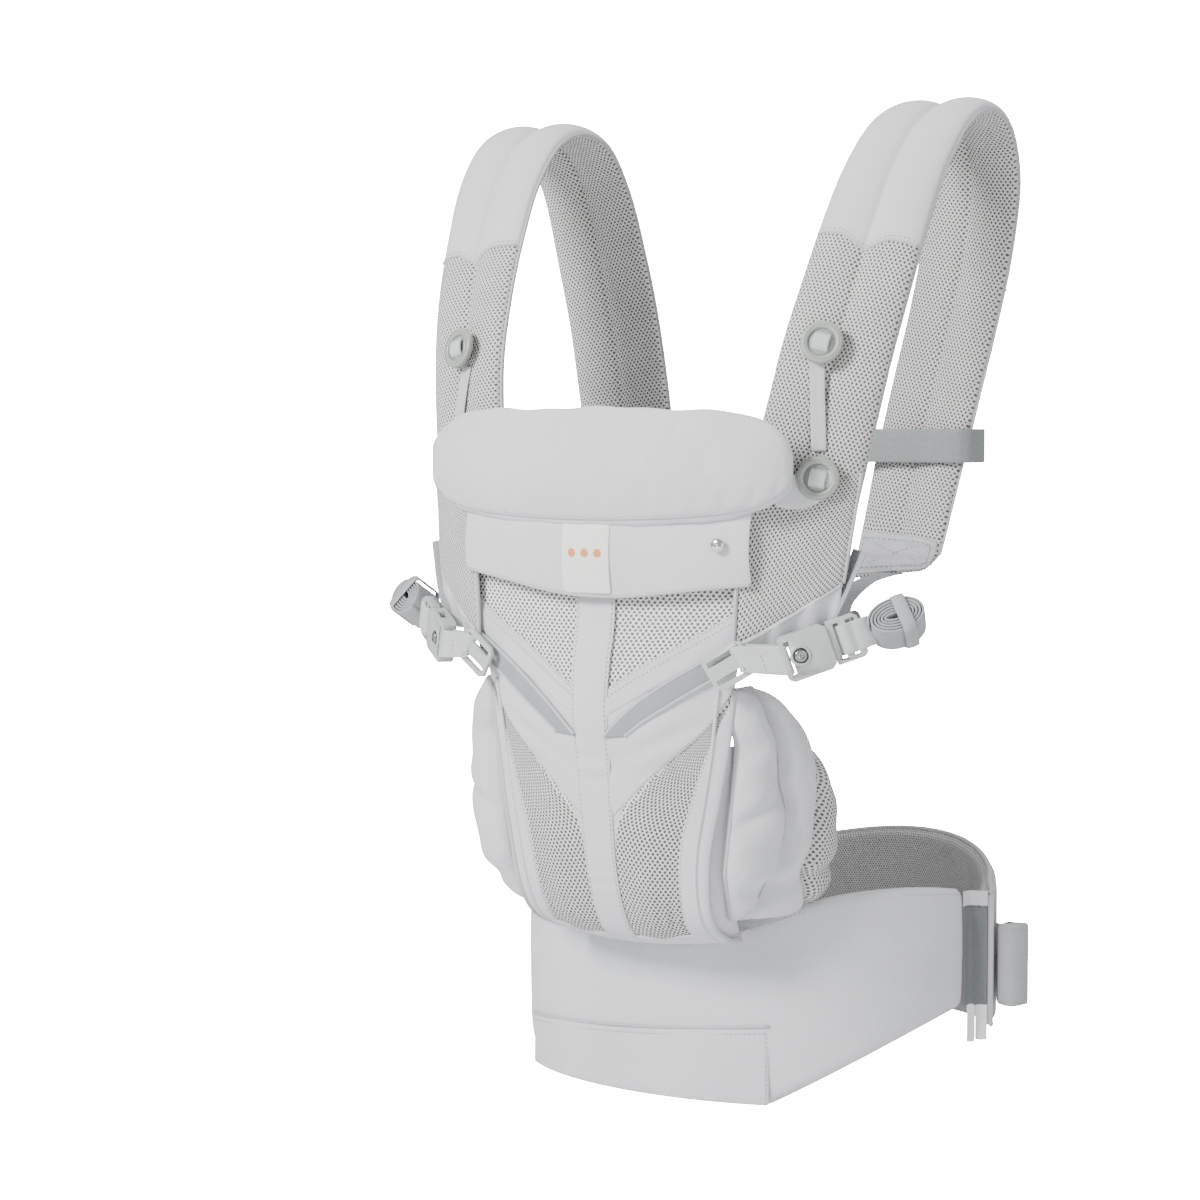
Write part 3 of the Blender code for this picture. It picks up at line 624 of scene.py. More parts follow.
def build_belt_pocket():
    """A flat pocket on the front of the belt, open along its slanting top."""
    angles = np.linspace(POCKET_FROM, POCKET_TO, 60)

    def edges(a):
        return 2 * MM + 0 * a, (41 + 20 * (a - POCKET_FROM) / (POCKET_TO - POCKET_FROM)) * MM

    def out(a, s):
        return (16.1 + 0.5 * np.sin(np.radians(a * 9)) * s) * MM

    mid, a, s = ring_grid(angles, spaced(12)[::-1], edges, out)
    low, high = edges(a)
    near = np.minimum(inside(s, high - low), np.minimum(a - POCKET_FROM, POCKET_TO - a) * 2.4 * MM)
    pocket = slab("belt_pocket_cloth", mid, 1.0 * MM * rim(near, 2 * MM), [FABRIC])
    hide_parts("belt_pocket")
    hem, _ = ring_points(angles, np.full(60, 17.2 * MM), edges(angles)[1] - 1.0 * MM)
    tube("belt_pocket_hem", hem, 1.1 * MM, FABRIC_SHADE, sides=6)
    for name, path in (
        ("belt_pocket_stitch_top", ring_points(angles, np.full(60, 17.3 * MM), edges(angles)[1] - 6 * MM)),
        ("belt_pocket_stitch_side", ring_points(np.full(30, 28.2), np.full(30, 17.2 * MM),
                                                np.linspace(3, 58, 30) * MM)),
    ):
        stitches(name, path[0], path[1])


def build_belt_end(end):
    """The dark hook strip on the belt's end face, two care tags below it and the topstitching before it."""
    plan = smoothed(np.array([(end - 3.2, 15.4), (end - 1.2, 15.9), (end + 0.2, 18.5), (end + 0.6, 24),
                              (end + 0.7, 31)]), 3)
    shares = spaced(18)[::-1]
    foot, _ = ring_points(plan[:, 0], plan[:, 1] * MM, 0 * plan[:, 0])
    wide = lengths(foot)
    for name, low, high, thick, mat, first, last in (
        ("belt_hook_strip", 64, 137, 0.9, STRIP_DARK, 0, 13),
        ("belt_end_cloth_top", 138, 149, 0.9, FABRIC, 0, 13),
        ("care_tag_first", 37, 66, 0.5, TAG, 4, 9), ("care_tag_second", 39, 66, 0.5, TAG, 8, 13),
    ):
        rise = (shares[:, None] * (high - low) + low)[..., None] * MM * np.array([0, 0, 1.0])
        mid = foot[None, first:last] + rise
        if mat is TAG:
            arch = np.sin(np.linspace(0, np.pi, last - first))[None, :]
            bow = arch * (1 - shares[:, None]) ** 2 * 3.0 * MM
            mid = mid + np.stack([0 * bow, -bow, 0 * bow], -1)
        near = np.minimum(np.minimum(1 - shares, shares)[:, None] * (high - low) * MM,
                          np.minimum(wide - wide[first], wide[last - 1] - wide)[None, first:last])
        piece = slab(name, mid, thick * MM * rim(near, 1.5 * MM), [mat])
        if name == "belt_hook_strip":
            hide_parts("belt_end_strip")
    for name, angle in (("belt_end_stitch_inner", end - 6.4), ("belt_end_stitch_outer", end - 5.2)):
        path, n = ring_points(np.full(60, angle), np.full(60, 14.1 * MM), np.linspace(70, 140, 60) * MM)
        stitches(name, path, n)


# ---------------------------------------------------------------- lumbar pad and waist webbing


def lumbar_edges(angle):
    """Heights of the lumbar pad's lower and upper edge."""
    bow = np.cos(np.radians(np.minimum(90.0, np.abs(angle - 148.0) * 1.5)))
    return 54 * MM - 14 * MM * bow, 138 * MM + 36 * MM * bow


def build_lumbar():
    """The quilted mesh pad inside the belt's back, piped round its edge."""
    ends = (LUMBAR_FROM, LUMBAR_TO)
    angles = ends[0] + (ends[1] - ends[0]) * spaced(64, 0.3)
    mid, a, s = ring_grid(angles, spaced(26, 0.5)[::-1], lumbar_edges, 27.0 * MM)
    low, high = lumbar_edges(a)
    near = np.minimum(inside(s, high - low), np.minimum(a - ends[0], ends[1] - a) * 2.6 * MM)
    quilt = 1 - 0.16 * np.exp(-((np.mod(a, 20.0) - 10) / 1.6) ** 2)
    pad = slab("lumbar_pad", mid, 6.6 * MM * rim(near, 9 * MM) * quilt, [MESH_DARK, MESH_DARK])
    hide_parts("lumbar_foam", "lumbar_mesh")
    flare = (27.5 + 5.5 * np.exp(-(((angles - ends[0]) / 5.0) ** 2))) * MM
    top, _ = ring_points(angles, flare, lumbar_edges(angles)[1])
    low, _ = ring_points(angles, flare, lumbar_edges(angles)[0])
    tube("lumbar_piping", np.vstack([top, low[::-1]]), 2.2 * MM, FABRIC_SHADE, closed=True, sides=8)


def build_waist_webbing():
    """The wide band that stands out past the belt's end, then the webbing over the lumbar pad."""
    def on_ring(angle, out):
        return ring_points(np.array([angle]), np.array([out * MM]), np.array([WAIST_WEB_HEIGHT]))[0][0]

    tip = np.array([216, 33, 95]) * MM
    path = [on_ring(101, 36.0), on_ring(98.5, 38.5), (on_ring(98, 40) + tip) / 2 + (0.001, -0.004, 0)]
    path += [tip, tip + (-0.001, 0.005, 0)]
    path.append(on_ring(102, 38.5) + (0.004, 0.003, 0))
    path += [on_ring(a, 36.4) for a in np.linspace(112, 196, 9)]
    widths = np.array([58, 60, 62, 60, 60, 60, 46] + [40] * 8) * MM
    up = np.tile((0.0, 0, 1), (len(path), 1))
    main_web = band("waist_band", path, up, widths, 2.0 * MM, WEB, per=5)
    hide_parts("waist_webbing")
    for height in (-1, 1):
        line = smoothed(np.array(path[:5]), 12) + (0, 0, height * 27 * MM)
        n = unit(np.cross(np.gradient(line, axis=0), (0, 0, 1.0)))
        stitches(f"waist_band_stitch_{'top' if height > 0 else 'low'}", line + n * 1.1 * MM, n)
    rear = on_ring(-104, 15.6), on_ring(-112, 15.8), on_ring(-119, 19.8)
    short = band("waist_web_short", rear, up[:3], 40 * MM, 1.8 * MM, WEB, per=4)
    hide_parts("waist_webbing_short")
    start, ahead = on_ring(-119, 21.0), unit(on_ring(-149, 29.0) - on_ring(-119, 21.0))
    web_end = path[-1]
    rear = start + ahead * 58.4 * 1.35 * MM
    path = [rear, (rear + web_end) / 2 + (-0.003, 0.007, 0), web_end + (-0.0015, 0.0035, 0)]
    end = band("waist_web_end", path, up[:3], 40 * MM, 1.8 * MM, WEB, None, per=6)
    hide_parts("waist_webbing_end")
    apply_modifiers(end)
    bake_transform(end)


def apply_modifiers(ob):
    """Bakes a piece's modifiers into its mesh, with its material and attributes kept."""
    me = bpy.data.meshes.new_from_object(ob.evaluated_get(bpy.context.evaluated_depsgraph_get()))
    ob.modifiers.clear()
    ob.data = me


# ---------------------------------------------------------------- seat panel

PANEL_FINE = smoothed(PANEL_ROWS, PER_PANEL_ROW)


def panel_points(row, across, out=0.0):
    """Points out metres off the panel's front, at a row of its table and from -1 to 1 across."""
    row, across = np.broadcast_arrays(np.asarray(row, float), np.asarray(across, float))

    def plain(r, x):
        k = np.clip(r * PER_PANEL_ROW, 0, len(PANEL_FINE) - 1.001)
        low = np.floor(k).astype(int)
        share = (k - low)[..., None]
        found = PANEL_FINE[low] * (1 - share) + PANEL_FINE[low + 1] * share
        mid_y, mid_z, edge_y, edge_z, half = np.moveaxis(found, -1, 0)
        return np.stack([half * x, mid_y + (edge_y - mid_y) * x * x, mid_z + (edge_z - mid_z) * x * x],
                        -1) * MM

    down = plain(np.minimum(row + 0.2, 12.99), across) - plain(np.maximum(row - 0.2, 0), across)
    right = plain(row, across + 0.02) - plain(row, across - 0.02)
    n = unit(np.cross(down, right))
    return plain(row, across) + n * np.asarray(out)[..., None], n


def flipped(points, side):
    """Points on the panel for either side."""
    return [(r, x * side) for r, x in points]


def column_from(column, side):
    """The same column counted from the other end on the mirrored side."""
    return column if side > 0 else -1 - column


def patch(name, first, second, lift, thick, mats, size=(40, 12), relief=None, soft=2.2 * MM, side=1):
    """Cloth laid on the panel between two lines of (row, across) points. lift is above the panel's face."""
    lines = []
    for line in (first, second):
        p = smoothed(np.array(line, float), 10)
        run = lengths(panel_points(p[:, 0], p[:, 1])[0])
        at_run = run[-1] * spaced(size[0], 0.2)
        lines.append(np.stack([np.interp(at_run, run, p[:, 0]), np.interp(at_run, run, p[:, 1])], -1))
    if side < 0:
        lines = [line * (1, -1) for line in lines][::-1]
    share = spaced(size[1], 0.4)
    grid = lines[0][:, None] * (1 - share[None, :, None]) + lines[1][:, None] * share[None, :, None]
    surface, n = panel_points(grid[..., 0], grid[..., 1])
    wide = np.linalg.norm(surface[:, -1] - surface[:, 0], axis=-1)[:, None]
    long = lengths(surface[:, size[1] // 2])
    near = np.minimum(inside(share, 1)[None, :] * wide, np.minimum(long, long[-1] - long)[:, None])
    height = lift + np.zeros_like(near)
    if relief:
        height = height + relief(grid[..., 0], grid[..., 1]) * np.clip(near / (4 * MM), 0, 1)
    mid = surface + n * height[..., None]
    made = slab(name, mid, thick / 2 * rim(near, soft), mats)
    return made, mid, n


def stitch_column(name, mid, n, column, lift):
    """Stitches along one column of a patch's grid, lift mm above its middle."""
    stitches(name, mid[:, column] + n[:, column] * lift * MM, n[:, column])


def line_on_panel(points, out):
    count = 60
    p = smoothed(np.array(points, float), 10)
    place = np.linspace(0, len(p) - 1, count)
    row, across = (np.interp(place, np.arange(len(p)), p[:, k]) for k in (0, 1))
    return panel_points(row, across, np.full(count, out))


WINDOW_LOWER_OUT = [(4.7, 0.985), (5.6, 0.88), (6.5, 0.78), (7.6, 0.69), (9.2, 0.68), (10.8, 0.70),
                    (12.6, 0.72)]
BINDING_OUT = [(4.45, 1.0), (5.6, 0.99), (6.6, 0.965), (7.6, 0.93), (8.8, 0.93), (10.2, 0.95), (11.2, 0.97),
               (12.7, 0.97)]


def yoke_relief(r, x):
    """Soft folds where the yoke gathers at the tip of the V, and the swell between its seams."""
    x = np.abs(x)
    folds = 1.9 * np.sin(6.5 * (r - 5.4) + 2.0 * x) * np.exp(-(((r - 6.1) / 0.45) ** 2) - (x / 0.34) ** 2)
    pull = ((r - 5.9 + 1.3 * (x - 0.3)) / 0.45) ** 2
    drag = 1.5 * np.sin(10.0 * (r + 1.1 * x)) * np.exp(-pull - ((x - 0.5) / 0.28) ** 2)
    swell = 2.4 * np.exp(-(((r - 5.7 + 1.9 * (x - 0.35)) / 0.6) ** 2) - ((x - 0.42) / 0.3) ** 2)
    return (folds + drag + swell) * MM


def strip_relief(r, _):
    """Puckers across the centre strip below the V and above the seat roll."""
    low = 0.85 * np.sin(18.0 * (r - 0.1)) * np.exp(-(((r - 8.35) / 0.42) ** 2))
    high = 1.5 * np.sin(16.0 * (r - 0.12)) * np.exp(-(((r - 6.15) / 0.36) ** 2))
    return (low + high) * MM


def panel_relief(r, x):
    """How far the panel swells below its V, and the gathers above the seat roll."""
    x = np.abs(x)
    sag = 4.2 * np.exp(-(((x - 0.42) / 0.2) ** 2)) * np.exp(-(((r - 8.6) / 2.0) ** 2))
    gather = 0.9 * np.sin(58 * x + 1.5 * r) * np.exp(-(((r - 9.4) / 0.7) ** 2))
    gather = gather * np.clip((x - 0.2) / 0.2, 0, 1)
    return (sag + gather) * MM


def build_seat_root():
    """The cloth that joins the panel's lower edge to the top of the belt."""
    across = np.linspace(-0.96, 0.96, 36)
    edge, _ = panel_points(12.6, across, -1.2 * MM)
    angle = np.degrees(np.arcsin(np.clip(edge[:, 0] / (RING[0] + 6 * MM), -1, 1)))
    low = belt_edges(angle)[1] - 7 * MM
    foot, _ = ring_points(angle, 7 * MM, low)
    share = spaced(10)[:, None, None]
    grid = edge[None] * (1 - share) + foot[None] * share
    grid = grid + np.array([0, -1.8 * MM, 0]) * np.sin(np.pi * share)
    near = inside(share[..., 0], 18) * MM + 0 * across[None]
    root = slab("seat_root", grid, 0.8 * MM * rim(near, 2 * MM), [FABRIC, LINING, FABRIC])


def build_panel():
    """The seat panel: its mesh face and lining, then everything sewn on it."""
    rows, across = PANEL_END_ROW * spaced(90, 0.1), 2 * spaced(56, 0.2) - 1
    r, x = np.meshgrid(rows, across, indexing="ij")
    relief = panel_relief(r, x)
    limit = np.interp(rows, [p[0] for p in BINDING_OUT], [p[1] for p in BINDING_OUT])[:, None]
    x = x * limit
    surface, n = panel_points(r, x, relief - 0.9 * MM)
    near = np.minimum((1 - np.abs(x)) * 95 * MM, np.minimum(r, PANEL_END_ROW - r) * 25 * MM)
    panel = slab("panel", surface, 1.6 * MM * rim(near, 3 * MM), [MESH_WINDOW, LINING, FABRIC_SHADE])
    windows = [f"mesh_window_{k}_{w}" for k in ("upper", "lower") for w in SIDES.values()]
    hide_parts("panel_front", "panel_lining", *windows)
    right = [(1.4, 0.135), (5, 0.15), (8, 0.145), (10.5, 0.16), (12.8, 0.18)]
    strip, mid, n = patch("centre_strip_cloth", flipped(right, -1), right, 2.7 * MM, 1.5 * MM, [FABRIC],
                          size=(100, 10), relief=strip_relief)
    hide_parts("centre_strip")
    for edge in (1, -2):
        stitch_column(f"centre_strip_stitch_{edge + 2}", mid[::2], n[::2], edge, 0.9)
    for side, word in SIDES.items():
        build_yoke(side, word)
        build_side_binding(side, word)
    build_seat_root()
    right = [(10.25, 0.74), (11.2, 0.9), (12.9, 0.97)]
    patch("seat_roll", flipped(right, -1), right, 2.6 * MM, 2.0 * MM, [FABRIC], size=(24, 36))


def build_yoke(side, word):
    """The cloth of one half of the V, between the upper and the lower window."""
    top = [(2.45, 1.0), (2.9, 0.82), (3.65, 0.48), (4.62, 0.06)]
    low = [(4.45, 1.0), (5.35, 0.84), (6.15, 0.52), (7.2, 0.06)]
    _, mid, n = patch(f"yoke_{word}", low, top, 1.5 * MM, 1.6 * MM, [FABRIC], size=(44, 26),
                      relief=yoke_relief, side=side)
    for k, column in (("low", 1), ("top", -2)):
        column = column_from(column, side)
        stitch_column(f"yoke_stitch_{k}_{word}", mid[1:-1], n[1:-1], column, 0.9)
    inner = [(5.0, 0.93), (5.6, 0.76), (6.4, 0.43), (7.0, 0.20), (7.6, 0.13), (9.0, 0.12), (10.7, 0.17)]
    outer = [(4.9, 0.97), (5.5, 0.93), (6.2, 0.86), (7.0, 0.78), (7.8, 0.74), (9.2, 0.73), (10.7, 0.75)]
    patch(f"window_lower_{word}", inner, outer, 1.25 * MM, 0.9 * MM, [MESH_LOWER, LINING, LINING],
          size=(70, 22), relief=panel_relief, side=side)
    tip = [(6.6, 0.30), (7.0, 0.21), (7.6, 0.18), (8.3, 0.165), (10.6, 0.2)]
    inner = [(6.0, 0.05), (6.9, 0.05), (7.6, 0.05), (8.3, 0.05), (10.6, 0.05)]
    patch(f"yoke_tip_{word}", inner, tip, 1.2 * MM, 1.4 * MM, [FABRIC], size=(36, 8), side=side)
    low = [(5.15, 0.10), (4.55, 0.42), (3.95, 0.72), (3.25, 1.0)]
    top = [(4.72, 0.10), (4.0, 0.42), (3.3, 0.72), (2.62, 1.0)]
    _, mid, n = patch(f"v_band_{word}", low, top, 2.6 * MM, 1.3 * MM, [FABRIC], size=(40, 8), side=side)
    column = column_from(-2, side)
    stitches(f"v_band_stitch_{word}", mid[1:-1, column] + n[1:-1, column] * 0.8 * MM, n[1:-1, 1])
    low = [(5.47, 0.275), (5.15, 0.42), (4.83, 0.58), (4.4, 0.77), (4.0, 0.94), (3.72, 1.02)]
    top = [(5.5, 0.115), (5.05, 0.27), (4.6, 0.44), (4.1, 0.645), (3.6, 0.87), (3.3, 1.0)]
    tape, mid, n = patch(f"v_tape_web_{word}", low, top, 4.3 * MM, 1.7 * MM, [WEB_TAPE], size=(60, 9),
                         side=side)
    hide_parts(f"v_tape_{word}")
    for column, which in ((0, "low"), (-1, "top")):
        column = column_from(column, side)
        edge = smoothed(mid[1:-1:3, column] + n[1:-1:3, column] * 0.2 * MM, 3)
        tube(f"v_tape_edge_{word}_{which}", edge, 1.25 * MM, FABRIC_SHADE, sides=8)


def build_side_binding(side, word):
    """The cloth strip, piping and ridge along the panel's side edge."""
    _, mid, n = patch(f"side_binding_{word}", WINDOW_LOWER_OUT, BINDING_OUT, 2.0 * MM, 2.0 * MM, [FABRIC],
                             size=(60, 10), side=side, soft=3 * MM)
    inner = column_from(1, side)
    stitch_column(f"side_binding_stitch_{word}", mid[1:-1], n[1:-1], inner, 1.1)
    line, _ = line_on_panel(flipped(BINDING_OUT, side), 2.6 * MM)
    tube(f"side_piping_{word}", line, 1.9 * MM, FABRIC_SHADE, sides=8)
    second, _ = line_on_panel(flipped([(r, x - 0.10) for r, x in BINDING_OUT], side), 3.1 * MM)
    tube(f"side_ridge_{word}", second, 1.3 * MM, FABRIC, sides=8)


# ---------------------------------------------------------------- hood pocket and label


def build_hood():
    """The pocket for the hood, the folded hood in it and the label."""
    def surface(x, s, low, high, face, belly):
        z = low + (high - low) * s
        return np.stack([x, face + belly * np.sin(np.pi * s) + 20 * MM * (x / 0.117) ** 2, z], -1)

    across = np.linspace(-0.1165, 0.1195, 60)
    s = spaced(18, 0.3)[::-1]
    x, t = np.meshgrid(across, s)
    edge = [(-121, 387), (-80, 381), (-41, 374.5), (-10, 371), (26, 370.5), (60, 374), (90, 377.5),
            (124, 381)]
    edge = smoothed(np.array(edge, float), 6)
    low = np.interp(x, edge[:, 0] * MM, edge[:, 1] * MM)
    high = 0.4315 + 0 * x
    ripple = (0.9 * np.sin(x / 0.015 + 2.4 * t) * (1 - t) + 1.1 * np.sin(x / 0.031 - 2 * t + 1)) * MM
    ripple = ripple + 1.6 * MM * t**2 * (1 - (x / 0.12) ** 2)
    mid = surface(x, t, low, high, -0.2205, -3.6 * MM) + np.stack([0 * x, ripple, 0 * x], -1)
    near = np.minimum(inside(t, high - low), np.minimum(x - across[0], across[-1] - x))
    pocket = slab("hood_pocket_cloth", mid, 0.9 * MM * rim(near, 2 * MM), [FABRIC])
    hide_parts("hood_pocket")
    tube("hood_pocket_hem", mid[-1] + (0, -0.0006, 0.0006), 1.2 * MM, FABRIC_SHADE, sides=6)
    x, t = np.meshgrid(np.linspace(-0.103, 0.103, 50), s)
    bunch = 1.2 * MM * np.sin(x / 0.008 + 4 * t) * np.sin(np.pi * t)
    mid = surface(x, t, 0.385 + 0 * x, 0.4165 + 0 * x, -0.2150, 0.0)
    mid = mid + np.stack([0 * x, bunch * 0.6, 0 * x], -1)
    near = np.minimum(inside(t, 0.032), 0.103 - np.abs(x))
    hood = slab("hood_bundle", mid, 1.9 * MM * rim(near, 3 * MM), [FABRIC_SHADE])
    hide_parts("hood_folded")
    x, t = np.meshgrid(np.linspace(-0.0195, 0.0195, 9), np.linspace(1, 0, 12))
    mid = surface(x, t, 0.3725 + 0 * x, 0.4295 + 0 * x, -0.2221, -3.2 * MM)
    mid = mid + np.stack([0 * x, 1.1 * MM * np.sin(x / 0.031 - 2 * t + 1) + 1.6 * MM * t**2, 0 * x], -1)
    weave = np.stack([x, (t - 0.5) * 0.057, 0 * x], -1)
    label = slab("label_cloth", mid, 0.5 * MM, [LABEL], weave=weave)
    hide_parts("label_patch")


# ---------------------------------------------------------------- head pillow


def pillow_outline(a, inside=0.0):
    """Upper and lower edge of the pillow in mm, at shares a of its half length."""
    ends = np.clip(1 - np.abs(a) ** 7, 0, 1) ** 0.5
    return 501.5 - 7 * a**4 - 27 * (1 - ends) - inside, 424.5 + 9 * a**2 + 23 * (1 - ends) + inside


def build_pillow():
    """The folded pillow: a stuffed front, piped along its lower seam, and the back layer's lip below it."""
    a, d = np.meshgrid(2 * spaced(76, 0.35) - 1, spaced(32, 0.45))
    top, low = pillow_outline(a)
    top = top + 0.9 * np.sin(9 * a + 0.7) + 0.5 * np.sin(23 * a)
    z = top + (low - top) * d
    mid = np.stack([PILLOW_HALF * a, -225.5 + 29 * a**2, z], -1) * MM
    near = np.minimum(inside(d, top - low), (1 - np.abs(a)) * PILLOW_HALF) * MM
    dents = 1 - 0.06 * np.sin(5.1 * a + 0.4) * np.sin(np.pi * d) - 0.06 * np.exp(-(((a - 0.2) / 0.3) ** 2))
    half = 11.5 * MM * np.clip(near / (36 * MM), 0.0, 1) ** 0.55 * dents + 0.6 * MM
    pucker = 0.35 * MM * np.sin(PILLOW_HALF * a / 2.9) * np.exp(-((1 - d) * (top - low) / 9.0) ** 2)
    pucker = pucker * np.clip(near / (2 * MM), 0, 1)
    pillow = slab("pillow_shell", mid, half + pucker, [FABRIC, FABRIC, FABRIC_SHADE], "pillow")
    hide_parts("pillow_front", "pillow_foam")
    puff(pillow, near < 3 * MM, 3.0 * MM, 0.008)
    # The thin piping tube in the darker binding cloth is partly piping and partly painted shade in the crease
    # along the lower seam.
    low_edge = mid[-1, 3:-3] + (0, -0.0012, 0.0004)
    tube("pillow_piping", smoothed(low_edge[::4], 4), 0.9 * MM, FABRIC_SHADE, "pillow", sides=8)
    top, low = pillow_outline(a * 0.985)
    low = low - 4.6 * (1 - 0.75 * a**6) + 0.35 * np.sin(17 * a) + 0.25 * np.sin(41 * a)
    z = (top - 6) + (low - top + 6) * d
    mid = np.stack([PILLOW_BACK_HALF * a, -222.0 + 29 * a**2 + 1.5 * np.sin(np.pi * d), z], -1) * MM
    near = np.minimum(inside(d, top - low), (1 - np.abs(a)) * PILLOW_BACK_HALF) * MM
    back = slab("pillow_back_cloth", mid, 4.4 * MM * rim(near, 6 * MM), [FABRIC], "pillow")
    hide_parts("pillow_back")
    share = spaced(10)[:, None]
    across = np.linspace(-104, 104, 40)[None, :]
    bow = (across / 117.0) ** 2
    y = -199 + 6 * bow - 21 * share + 14 * bow * share
    z = 487 + 8 * share + 3 * np.sin(np.pi * share) + 0 * across
    grid = np.stack([across + 0 * share, y, z], -1) * MM
    near = inside(share, 22) * MM + 0 * grid[..., 0]
    hinge = slab("pillow_hinge_cloth", grid, 0.8 * MM * rim(near, 2 * MM), [FABRIC], None)
    apply_modifiers(hinge)
    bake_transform(hinge)
    for side, word in SIDES.items():
        build_pillow_tab(side, word)


def build_pillow_tab(side, word):
    """The pointed tab at the pillow's lower corner, which holds the lower ring button."""
    flip = FLIPS[side]
    route = [(130, -189, 446), (138, -179.5, 444), (147, -174.0, 445), (157, -171.0, 449), (166, -169.5, 456)]
    p = smoothed(np.array(route) * MM * flip, 6)
    t = np.linspace(0, 1, len(p))
    width = np.interp(t, [0, 0.5, 0.85, 1], [24, 24, 18, 8]) * MM
    up = unit(np.array([-0.12 * side, 0, 1.0]))
    s = spaced(9, 0.3) - 0.5
    mid = p[None, :] - up[None, None, :] * (s[:, None] * width[None, :])[..., None]
    mid = mirrored(mid, side)
    near = np.minimum((0.5 - np.abs(s))[:, None] * width[None, :], inside(t, 0.04)[None, :])
    tab = slab(f"pillow_tab_cloth_{word}", mid, 1.6 * MM * rim(near, 3 * MM), [FABRIC], "pillow")
    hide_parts(f"pillow_tab_{word}")


# ---------------------------------------------------------------- camera and light


def build_camera_and_light():
    """The photograph's view, a soft studio light and a white floor."""
    cam = bpy.data.cameras.new("camera")
    cam.lens = CAMERA_LENS
    cam.sensor_width = CAMERA_SENSOR
    cam.clip_start = 0.05
    ob = add("camera", cam)
    a, e = CAMERA_TURN, CAMERA_RISE
    ahead = Vector((-math.sin(a) * math.cos(e), math.cos(a) * math.cos(e), -math.sin(e)))
    right = Vector((math.cos(a), math.sin(a), 0))
    ob.location = CAMERA_TARGET - ahead * CAMERA_DISTANCE
    ob.rotation_euler = Matrix((right, right.cross(ahead), -ahead)).transposed().to_euler()
    bpy.context.scene.camera = ob
    world = bpy.data.worlds.new("studio")
    world.use_nodes = True
    tree = world.node_tree
    background = tree.nodes["Background"]
    seen = tree.nodes.new("ShaderNodeLightPath").outputs["Is Camera Ray"]
    strength = tree.nodes.new("ShaderNodeMapRange")
    strength.inputs["To Min"].default_value = AMBIENT_GLOW
    strength.inputs["To Max"].default_value = BACKGROUND_GLOW
    tree.links.new(seen, strength.inputs["Value"])
    tree.links.new(strength.outputs[0], background.inputs[1])
    background.inputs[0].default_value = (0.97, 0.98, 1.0, 1)
    bpy.context.scene.world = world
    for name, place, size, power in (
        ("key", (-0.85, -2.4, 1.75), 0.8, 130.0),
        ("fill", (2.4, -1.4, 0.8), 1.2, 18.0),
        ("top", (0.4, 0.6, 2.6), 1.0, 34.0),
    ):
        lamp = bpy.data.lights.new(name, "AREA")
        lamp.size = size
        lamp.energy = power
        light = add(name, lamp)
        light.location = place
        aim = LIGHT_TARGET - Vector(place)
        light.rotation_euler = aim.to_track_quat("-Z", "Y").to_euler()
    square = ((-1, -1), (1, -1), (1, 1), (-1, 1))
    corners = [(x * FLOOR_HALF, y * FLOOR_HALF, FLOOR_HEIGHT) for x, y in square]
    floor = build("floor", corners, [(0, 1, 2, 3)], [FLOOR], None)


# ---------------------------------------------------------------- shoulder straps

STRAP_FINE = smoothed(STRAP_ROWS, PER_STRAP_ROW)


def strap_frames(side):
    """Centres, width directions, outward normals and half widths along a strap."""
    rows = STRAP_FINE
    c = rows[:, :3] * MM
    t = unit(np.gradient(c, axis=0))
    turn = np.radians(rows[:, 3])
    w = np.stack([np.cos(turn), np.sin(turn), 0 * turn], -1)
    w = unit(w - np.sum(w * t, 1, keepdims=True) * t)
    n = np.cross(w, t)
    flip = FLIPS[side]
    return c * flip, w * flip, n * flip, rows[:, 4] * MM


def strap_surface(side, row, sideways, height):
    """A point off a strap at a row of its table, its outward normal and its width direction."""
    c, w, n, _ = strap_frames(side)
    k = row * PER_STRAP_ROW
    centre, wide, out = at(c, k), unit(at(w, k)), unit(at(n, k))
    return centre + wide * sideways * MM + out * height * MM, out, wide


STRAP_SHARES = np.array([0, 0.05, 0.14, 0.28, 0.42, 0.56, 0.70, 0.84, 0.94, 0.985, 1.0])
STRAP_SHARES = np.concatenate([-STRAP_SHARES[::-1], STRAP_SHARES[1:]])


def strap_heights(i, run, s):
    """Heights of a strap's outer and inner faces at fine row i and at shares s of its half width, in mm."""
    q = np.abs(s)
    crest = math.exp(-(((i / PER_STRAP_ROW - 10.5) / 4.2) ** 2))
    channel = 0.55 + 0.45 * crest
    plump = np.clip(np.sin(np.pi * np.clip(q, 0, 1)), 0, 1) ** 0.5
    flat = np.sqrt(np.clip(1 - q**3, 0, 1))
    taper = min(1.0, 0.28 + 0.72 * (run[i] / 0.05)) * min(1.0, 0.3 + 0.7 * ((run[-1] - run[i]) / 0.03))
    ripple = 0.35 * math.sin(run[i] / MM / 2.6) * np.exp(-((q / 0.16) ** 2))
    bunch = 0.9 * math.sin(run[i] / MM / 3.4) * math.exp(-(((i / PER_STRAP_ROW - 10.2) / 1.3) ** 2))
    up = (1.8 + 7.9 * (flat * (1 - channel) + plump * channel)) * taper + ripple
    down = (1.4 + 6.8 * (flat * (1 - channel) + plump * channel)) * taper + bunch * plump + ripple
    return up, down


def seam_dip(q):
    """How far a strap's cross seam dips at its middle."""
    return 9 * MM * np.clip(1 - q / 0.5, 0, 1) ** 1.3


